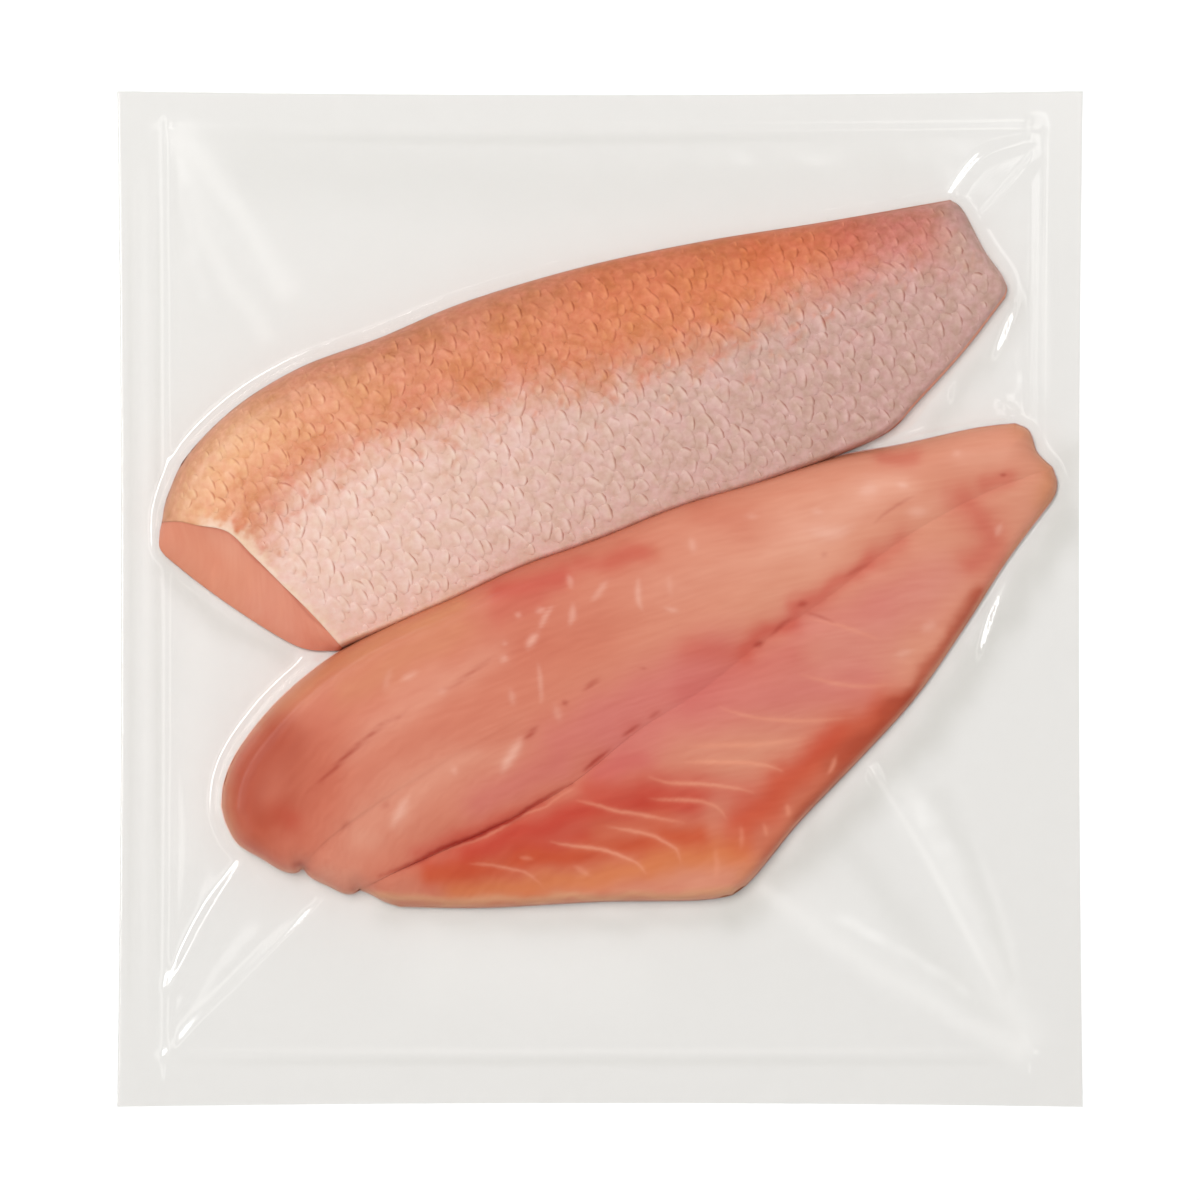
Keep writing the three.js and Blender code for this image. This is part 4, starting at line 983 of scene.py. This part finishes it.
def skin_tints(places):
    """How strongly every tint shows at places on the skin."""
    from_back, _ = to_line(skin_back, places)
    from_cut, _ = to_line(skin_head, places)
    from_belly, _ = to_line(skin_belly, places)
    wobble = 2.4 * swell(places, 14, 7) + 2.2 * swell(places, 6, 8) + 2.2 * swell(places, 2.8, 9)
    border = np.interp(places[:, 0], *BACK_BAND) + wobble
    band = 1 - smoothstep(from_back, border - 10, border + 9)
    tints = {name: washes(places, lines) for name, lines in SKIN_WASHES.items()}
    band = band * np.interp(places[:, 0], *BACK_SHARE)
    tints["gold"] *= band * smoothstep(from_back, -6, 6)
    tints["bronze"] = band * smoothstep(swell(places, 22, 51) + 0.7 * swell(places, 7, 52), -0.2, 0.6)
    tints["back"] = band
    specks = smoothstep(swell(places, 3.1, 61) + 0.8 * swell(places, 9, 62), 0.25, 0.8)
    near_border = smoothstep(from_back, 4, 20) * (1 - smoothstep(from_back, border, border + 24))
    tints["speck"] = 0.5 * specks * near_border
    # painted shade along the round back, full within 3 mm of its edge and gone 13 mm in
    tints["flank_shade"] = 0.85 - 0.85 * smoothstep(from_back, 3, 13)
    tints["to_tail"] = smoothstep(places[:, 0], -100, 80)
    ragged = 1 + swell(places, 6, 41) + 0.7 * swell(places, 2.5, 42)
    ragged *= mix(2.6, 1, smoothstep(places[:, 0], -92, -80))
    tints["pale_edge_and_highlight"] = 0.85 * bell(from_cut, np.maximum(ragged, 0.3)) * smoothstep(places[:, 0], -106, -100)
    # painted highlight: a pale line along the belly edge by the neighbouring fillet, where the film shines
    tints["pale_edge_and_highlight"] += 0.8 * bell(from_belly - 1.3, 0.7) * (1 - smoothstep(places[:, 0], -50, -20))
    tints["outer_rim"] = 0.4 * (1 - smoothstep(to_outline(skin_up_outline, places), 0.1, DARK_EDGE))
    return tints


def dress_skin(piece, tip=None):
    """Paints a piece of skin. Where there are no pockets it has the tone of a flap's middle."""
    for name, values in skin_tints(points_of(piece)[:, :2]).items():
        paint(piece, name, values)
    if tip is not None:
        paint(piece, "tip", np.full(len(piece.data.vertices), tip))
        piece.data.materials.append(skin_material)


dress_skin(skin, tip=0.5)
dress_skin(skin_b, tip=0.5)
print("skin painted, with", len(skin.data.attributes), "attributes")

# %% Colour of the flesh, by place
CUT_SLITS = [([(-101, 18.4), (-96.2, 17.2), (-89.7, 11), (-81.9, 4), (-74.1, -5.1), (-66, -11)], 0.5, 0.4)]
CUT_GRISTLE = [
    ([(-98.3, 10.7), (-99.6, 8.6), (-100.4, 6), (-100.4, 2.3)], 0.6, 0.6),
    ([(-91, 9.6), (-90.5, 0)], 0.7, 0.35), ([(-88.7, 4.5), (-87.6, -1.3)], 0.6, 0.35),
    ([(-82, 0), (-83, -7)], 0.7, 0.3),
    ([(-78, 0.5), (-73.5, -5.2), (-67.5, -10.9)], 0.6, 0.7),
]
CUT_WASHES = {
    "tan": [([(-113, 10), (-100, 0), (-84, -10)], 1.5, 0.6), ([(-111, 15), (-104, 10), (-97, 4)], 6, 0.7)],
    "pale": [([(-98, 12), (-90, 3), (-82, -5), (-72, -12)], 7, 1), ([(-78, -9), (-68, -13)], 3, 0.6)],
    "cut": [([(-110, 15), (-98, 6), (-84, -5), (-70, -13)], 8, 0.6)],
}


FIBRE_STRETCH = 5  # the noise is drawn out this much along the muscle


def paint_grain(piece, top):
    """Places along and across the muscle, drawn out along it, for the fibres in the material."""
    along = np.cumsum(np.linalg.norm(np.diff(top, axis=0, prepend=top[:1]), axis=2), axis=0)
    across = np.cumsum(np.linalg.norm(np.diff(top, axis=1, prepend=top[:, :1]), axis=2), axis=1)
    grain = np.zeros((len(piece.data.vertices), 3))
    grain[:along.size] = MM * np.stack(
        [along.ravel() / FIBRE_STRETCH, across.ravel(), 0 * across.ravel()], axis=1)
    values = piece.data.attributes.new("grain", "FLOAT_VECTOR", "POINT")
    values.data.foreach_set("vector", grain.astype(np.float32).ravel())


for piece, top in ((flesh_a, cut_top), (flesh_b, flesh_top)):
    paint(piece, "to_tail", smoothstep(points_of(piece)[:, 0], -30, 60))
    paint_grain(piece, top)
    piece.data.materials.append(flesh_material)
places = cut_top[..., :2].reshape(-1, 2)
paint(flesh_a, "slit", fill_to(flesh_a, strokes(places, CUT_SLITS)))
paint(flesh_a, "gristle", fill_to(flesh_a, strokes(places, CUT_GRISTLE)))
for name, lines in CUT_WASHES.items():
    paint(flesh_a, name, fill_to(flesh_a, washes(places, lines)))
print("flesh painted")

# %% Lay the pockets on the skin
def lay_pockets():
    """The pockets as one real mesh, made by the tree on the places found above."""
    mesh = bpy.data.meshes.new("pocket_places")
    mesh.from_pydata([(x * MM, y * MM, 0) for x, y, *_ in pocket_spots], [], [])
    turn = mesh.attributes.new("turn", "FLOAT_VECTOR", "POINT")
    turn.data.foreach_set("vector", (pocket_spots[:, 3:4] * [0, 0, 1]).ravel())
    carrier = bpy.data.objects.new("pocket_places", mesh)
    paint(carrier, "ground", pocket_spots[:, 2] * MM)
    paint(carrier, "fit", pocket_spots[:, 4])
    bpy.context.scene.collection.objects.link(carrier)
    modifier = carrier.modifiers.new("pockets", "NODES")
    modifier.node_group = pocket_tree()
    sockets = {item.name: item.identifier for item in modifier.node_group.interface.items_tree}
    modifier[sockets["Skin"]] = skin
    modifier[sockets["Material"]] = skin_material
    made = bpy.data.meshes.new_from_object(carrier.evaluated_get(bpy.context.evaluated_depsgraph_get()))
    bpy.data.objects.remove(carrier)
    made.name = "scale_pockets"
    made.polygons.foreach_set("use_smooth", [True] * len(made.polygons))
    piece = bpy.data.objects.new("scale_pockets", made)
    bpy.context.scene.collection.objects.link(piece)
    return piece


pockets = lay_pockets()
dress_skin(pockets)
print("pockets have", sum(len(face.vertices) - 2 for face in pockets.data.polygons), "triangles")

# %% [markdown]
# ## The film
# The pouch is two sheets of film, sealed together round the edge. With the air drawn out, the upper one is a
# stretched skin: it rests on the fish, hangs in a curve from each side of it to the lower sheet, and stands
# up in sharp creases between the corners and the fish. We find that shape as a real one is found. Every point
# is drawn down by the pressure and held level with its neighbours by the pull of the film, and nothing may go
# through what lies below. The broad, faint shine of the room in it, and the fish's soft shadow on the paper,
# are painted, because a lamp bright enough for them would wash out the fish.

# %% Size, creases and folds of the film
PACK_WIDE, PACK_TALL = 251, 264
BOW = 1  # how far the middle of each side is drawn in
FILM_STEP = 0.85
SHEET = 0.5  # the two sheets laid together, with a little air
SEAL = 0.3  # the two melted into one
SEAL_SIDE, SEAL_TOP, SEAL_FOOT = 12.9, 9.2, 13  # how wide the seal is
CLEARANCE = 0.2
CREASES = [  # sharp ones: points from the corner to the fish, and the ridge's height in mm
    ([(-111.8, -101), (-103, -84), (-92.8, -68)], 2.4), ([(-110, -117), (-92, -99), (-71.2, -78.5)], 1.8),
    ([(-112.3, -118.8), (-98, -103), (-79.3, -83.7)], 1.0),
    ([(109.2, 11.4), (104.8, -1.6), (100.1, -15.9)], 1.8),
    ([(111, 119), (100.1, 115), (91, 104)], 1.6), ([(113, 115), (103, 103), (96, 96)], 1.2),
    ([(109.7, 78.5), (107.6, 70.2), (104, 62)], 1.6), ([(98, 64), (93.6, 57), (93, 51)], 1.4),
    ([(104.5, 51.2), (109.5, 47.8)], 1.0), ([(87.9, 53.8), (79.6, 43.7)], 1.0),
    ([(70.2, -43.2), (72.8, -49.1)], 1.0), ([(-88.1, -71.2), (-81.4, -75.7)], 1.0),
]
FOLDS = [  # wide soft ones: points from the corner to the fish, half width and height in mm
    ([(-112, 118), (-98, 100), (-78, 74)], 6, 0.4), ([(-110, 112), (-104, 90), (-96, 66)], 4, 0.2),
    ([(111, 118), (100, 108), (88, 98)], 5, 0.7), ([(111, 60), (104, 45), (96, 38)], 5, 0.6),
    ([(112, -118), (94, -82), (72, -44)], 7.5, 1.3), ([(112, -118), (86, -100), (46, -80)], 7.5, 1.2),
    ([(-111, -118), (-98, -98), (-80, -80)], 5, 0.8), ([(-111, -112), (-104, -88), (-97, -66)], 4, 0.7),
    ([(-114, 70), (-112, 30), (-114, -10)], 3, 0.4), ([(112, 30), (111, 0), (112, -40)], 3, 0.4),
    ([(-60, 108), (0, 112), (70, 112)], 5, 0.3), ([(-60, -100), (0, -104), (60, -104)], 6, 0.4),
    ([(-112, -30), (-108, -60), (-110, -90)], 3, 0.4),
]

THIN = 2  # lines up to this radius are drawn as strokes, wider ones as washes
LIT = [  # where the room shows in the film: points, radius in mm and strength
    ([(70, -43), (86, -69), (110, -115)], 1.6, 0.75), ([(78, -50), (92, -74), (110, -113)], 4, 0.4),
    ([(43, -76), (69, -95), (109, -117)], 2.4, 0.45), ([(52, -76), (78, -92), (108, -112)], 5, 0.15),
    ([(97, -62), (105, -85), (111, -114)], 1.8, 0.35), ([(109, -110), (112, -118)], 1.2, 0.7),
    ([(-109, 121), (-95, 102), (-82, 81)], 2.8, 0.45), ([(-109, 119), (-102, 93), (-87, 69)], 2.2, 0.3),
    ([(-104, -11), (-106, -38), (-108, -66)], 4, 0.2), ([(-42, -96), (3, -99)], 8, 0.2),
    ([(-118.5, 112), (-118, 0), (-118.5, -112)], 1.3, 0.35), ([(115, 97), (116, 52)], 1.5, 0.4),
    ([(-108, -117.2), (0, -117.6), (108, -117.2)], 0.8, 0.3),
]
SHADED = [  # painted shade: where the fish shades the paper, beside the seal lines and folds, and across the top
    ([(-55, -81), (-10, -84), (33, -82)], 3, 0.55), ([(-113, 9), (-99, -6), (-82, -14)], 2.8, 0.6),
    ([(34, -82), (53, -67), (81, -40), (103, -8), (120, 19)], 4.4, 0.9),
    ([(109, 78), (102, 65), (87, 45)], 2.8, 0.5), ([(121, 36), (120, 17)], 3.6, 0.6),
    ([(-108, 119.8), (-20, 119.3), (80, 120)], 1.9, 0.4),
    ([(-122.5, 112), (-122, 0), (-122.5, -112)], 1.2, 0.3),
    ([(-114.8, 105), (-115, 0), (-114.8, -95)], 1, 0.3),
    ([(-108, -120.4), (0, -120.1), (108, -120.4)], 1.4, 0.35),
    ([(66, -66), (87, -94), (106, -113)], 3.5, 0.3),
    ([(-90, 112), (0, 108), (80, 112)], 9, 0.25), ([(88, -52), (100, -78), (106, -100)], 2.5, 0.3),
]

half_x, half_y = PACK_WIDE / 2, PACK_TALL / 2
film_x = np.linspace(-half_x, half_x, round(PACK_WIDE / FILM_STEP) + 1)
film_y = np.linspace(half_y, -half_y, round(PACK_TALL / FILM_STEP) + 1)
grid_x, grid_y = np.meshgrid(film_x, film_y, indexing="ij")
film_places = np.stack([grid_x.ravel(), grid_y.ravel()], axis=1)
bowed_x = grid_x * (1 - BOW / half_x * (1 - (grid_y / half_y) ** 2))
bowed_y = grid_y * (1 - BOW / half_y * (1 - (grid_x / half_x) ** 2))
print("film grid", grid_x.shape, "with", len(CREASES), "creases and", len(FOLDS), "folds")

# %% Where the fish holds the film up

def fish_below():
    """The height of the fish under every point of the film."""
    trees = [BVHTree.FromObject(piece, bpy.context.evaluated_depsgraph_get())
             for piece in (skin, pockets, flesh_a, flesh_b)]
    down = Vector(DOWN)
    heights = np.zeros(grid_x.size)
    for i, (x, y) in enumerate(zip(bowed_x.ravel() * MM, bowed_y.ravel() * MM)):
        hits = [tree.ray_cast(Vector((x, y, HIGH)), down)[0] for tree in trees]
        heights[i] = max([hit.z / MM + CLEARANCE for hit in hits if hit is not None], default=0)
    return heights.reshape(grid_x.shape)


def over_neighbours(height):
    """Each point as high as the highest one next to it, so that no corner of the fish comes through."""
    wide, tall = height.shape
    padded = np.pad(height, 1)
    return np.max([padded[i:i + wide, j:j + tall] for i in range(3) for j in range(3)], axis=0)


fish = over_neighbours(fish_below())
print("the fish holds up", round(float((fish > 0).mean()), 2), "of the film")

# %% Where the seal, the creases and the folds hold it up
def seal_profile():
    """The heights of the flat film: the seal, its raised lines and the sheet inside them."""
    from_right, from_left = half_x - film_places[:, 0], half_x + film_places[:, 0]
    from_top, from_bottom = half_y - film_places[:, 1], half_y + film_places[:, 1]
    within = np.minimum.reduce([
        from_right - SEAL_SIDE, from_left - SEAL_SIDE, from_top - SEAL_TOP, from_bottom - SEAL_FOOT,
    ])
    flat = mix(SEAL, SHEET, smoothstep(within, -0.5, 0.8))
    inside_x = smoothstep(np.minimum(from_top, from_bottom), 5, 9)
    inside_y = smoothstep(np.minimum(from_left, from_right), 8, 12)
    for distance, inset, height, width, inside in (
        (from_left, SEAL_SIDE, 0.42, 0.9, inside_x), (from_right, SEAL_SIDE, 0.55, 0.9, inside_x),
        (from_right, SEAL_SIDE - 1.9, 0.5, 0.9, inside_x),
        (from_top, SEAL_TOP, 0.25, 1.1, inside_y), (from_bottom, SEAL_FOOT, 0.3, 1.1, inside_y),
    ):
        flat += height * bell(distance - inset, width) * inside
    return flat


def crease_ridges():
    ridges = np.zeros(len(film_places))
    for points, height in CREASES:
        far, along = to_line(Line(points), film_places)
        taper = np.sqrt(np.sin(np.pi * np.clip(mix(0.04, 0.97, along), 0, 1)))
        ridges = np.maximum(ridges, height * taper * bell(far, 1.5))
    return ridges


def soft_folds():
    folds = np.zeros(len(film_places))
    for points, width, height in FOLDS:
        far, along = to_line(Line(points), film_places)
        widening = mix(0.35, 1, along)
        ends = smoothstep(along, 0, 0.15) * (1 - smoothstep(along, 0.75, 1))
        folds += height * widening * ends * bell(far, width * widening)
    return folds


flat = seal_profile().reshape(grid_x.shape)
off_fish = 1 - smoothstep(fish, 0, 1)
held = np.maximum(fish, flat + crease_ridges().reshape(grid_x.shape) * off_fish)
print("the highest point that holds it up is", round(float(held.max()), 1), "mm high")

# %% Draw the film down
PRESSURE, ROUNDS = 0.9, 300  # pressure over pull, per mm, and rounds until the film hardly moves
CLINGS, HANGS = 3, 9  # mm above the fish, where the film still clings to it and where it hangs free


def drawn_down(held):
    """The film's height once it has come to rest on what holds it up."""
    height = held.copy()
    drop = PRESSURE * FILM_STEP ** 2 / 4
    for _ in range(ROUNDS):
        level = (height[:-2, 1:-1] + height[2:, 1:-1] + height[1:-1, :-2] + height[1:-1, 2:]) / 4
        height[1:-1, 1:-1] = np.maximum(level - drop, held[1:-1, 1:-1])
    return height


film_height = drawn_down(held)
clings = (1 - smoothstep(film_height - fish, CLINGS, HANGS)) * smoothstep(fish, 0.5, 1.5)
from_side = np.minimum(half_x - abs(grid_x), half_y - abs(grid_y))
off_fish = (1 - smoothstep(film_height, 1, 8)) * smoothstep(from_side, 8, 20)
waves = 0.16 * (1 + swell(film_places, 30, 31)) + 0.05 * (1 + swell(film_places, 9, 32)) + soft_folds()
film_height += off_fish * waves.reshape(grid_x.shape)
film_top = np.dstack([bowed_x, bowed_y, film_height])
film = solid_below("pouch_film", film_top, 0.0)
paint(film, "free", fill_to(film, mix(1.0, 0.06, clings.ravel()), 1.0))
places = film_top[..., :2].reshape(-1, 2)
for name, lines in (("lit", LIT), ("shaded", SHADED)):
    thin = strokes(places, [line for line in lines if line[1] <= THIN])
    wide = washes(places, [line for line in lines if line[1] > THIN])
    paint(film, name, fill_to(film, np.maximum(thin, wide)))
film.data.materials.append(film_material)
film.visible_shadow = False  # so thin that it shades nothing
film.visible_diffuse = False
print("film stands", round(float(film_height.max()), 1), "mm high")

# %% [markdown]
# ## Floor, light and camera
# A white floor and an even white room, with one large soft light from the upper left for the fish. Four more
# lamps shine on the film alone, as long bright windows that draw the highlights on its creases and edges. The
# camera looks straight down through a long lens.

# %% Stage
FLOOR_REACH = 3.0  # metres each way
FLOOR_BELOW = 0.2  # mm under the pack


def plain_floor():
    mesh = bpy.data.meshes.new("floor")
    corners = [(x * FLOOR_REACH, y * FLOOR_REACH, 0) for x, y in ((-1, -1), (1, -1), (1, 1), (-1, 1))]
    mesh.from_pydata(corners, [], [(0, 1, 2, 3)])
    floor = bpy.data.objects.new("floor", mesh)
    floor.location.z = -FLOOR_BELOW * MM
    bpy.context.scene.collection.objects.link(floor)
    material, tree = new_material("white_paper")
    paper = add(tree, "ShaderNodeBsdfDiffuse", {"Color": (0.95, 0.95, 0.95, 1)})
    add(tree, "ShaderNodeOutputMaterial", {"Surface": paper})
    mesh.materials.append(material)


def softbox(name, azimuth, elevation, distance, size, power, on_film):
    """A rectangular lamp that looks at the pack, for the film's highlights alone or for all but those.
    Azimuth is counted from +X towards +Y."""
    lamp = bpy.data.lights.new(name, "AREA")
    lamp.shape = "RECTANGLE"
    lamp.size, lamp.size_y = size
    lamp.energy = power
    light = bpy.data.objects.new(name, lamp)
    azimuth, elevation = np.radians(azimuth), np.radians(elevation)
    level = np.cos(elevation)
    away = Vector((np.cos(azimuth) * level, np.sin(azimuth) * level, np.sin(elevation)))
    light.location = away * distance
    light.rotation_euler = away.to_track_quat("Z", "Y").to_euler()
    light.visible_glossy = on_film
    light.visible_diffuse = not on_film
    bpy.context.scene.collection.objects.link(light)


plain_floor()
for lamp in (  # azimuth and elevation in degrees, distance and size in metres, power in watts, on the film
    ("key_upper_left", 130, 70, 1.6, (0.6, 0.6), 13.5, False),
    ("window_left", 152, 38, 1.5, (1.7, 0.4), 22, True),
    ("window_top_right", 45, 55, 1.5, (0.9, 0.5), 2, True),
    ("sky_panel_left", 165, 68, 1.5, (1.5, 0.35), 2, True),
    ("sky_panel_right", 45, 70, 1.5, (0.5, 0.3), 1.0, True),
):
    softbox(*lamp)

world = bpy.data.worlds.new("plain_studio")
world.use_nodes = True
room = world.node_tree.nodes["Background"].inputs
room["Color"].default_value = (1, 1, 1, 1)
room["Strength"].default_value = 0.68
bpy.context.scene.world = world
bpy.context.scene.view_settings.view_transform = "Standard"
print("floor, world and", len(bpy.data.lights), "lamps")

# %% Camera
FRAME_WIDE = 312  # what the picture takes in, side to side
FRAME_DOWN = 0.26  # the picture's middle lies this far below the pouch's
LENS, SENSOR = 200, 36
camera = bpy.data.cameras.new("camera")
camera.lens, camera.sensor_width = LENS, SENSOR
eye = bpy.data.objects.new("camera", camera)
eye.location = (0, -FRAME_DOWN * MM, FRAME_WIDE * MM * LENS / SENSOR)
bpy.context.scene.collection.objects.link(eye)
bpy.context.scene.camera = eye
print("camera", round(eye.location.z, 2), "m above the pack")

# %% Join the pieces to the frame
for piece, slot in ((skin, "fish_skin"), (pockets, "fish_skin"), (skin_b, "fish_skin"),
                    (flesh_a, "fish_flesh"), (flesh_b, "fish_flesh"), (film, "film")):
    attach(piece, "root")
    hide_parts(PACK)
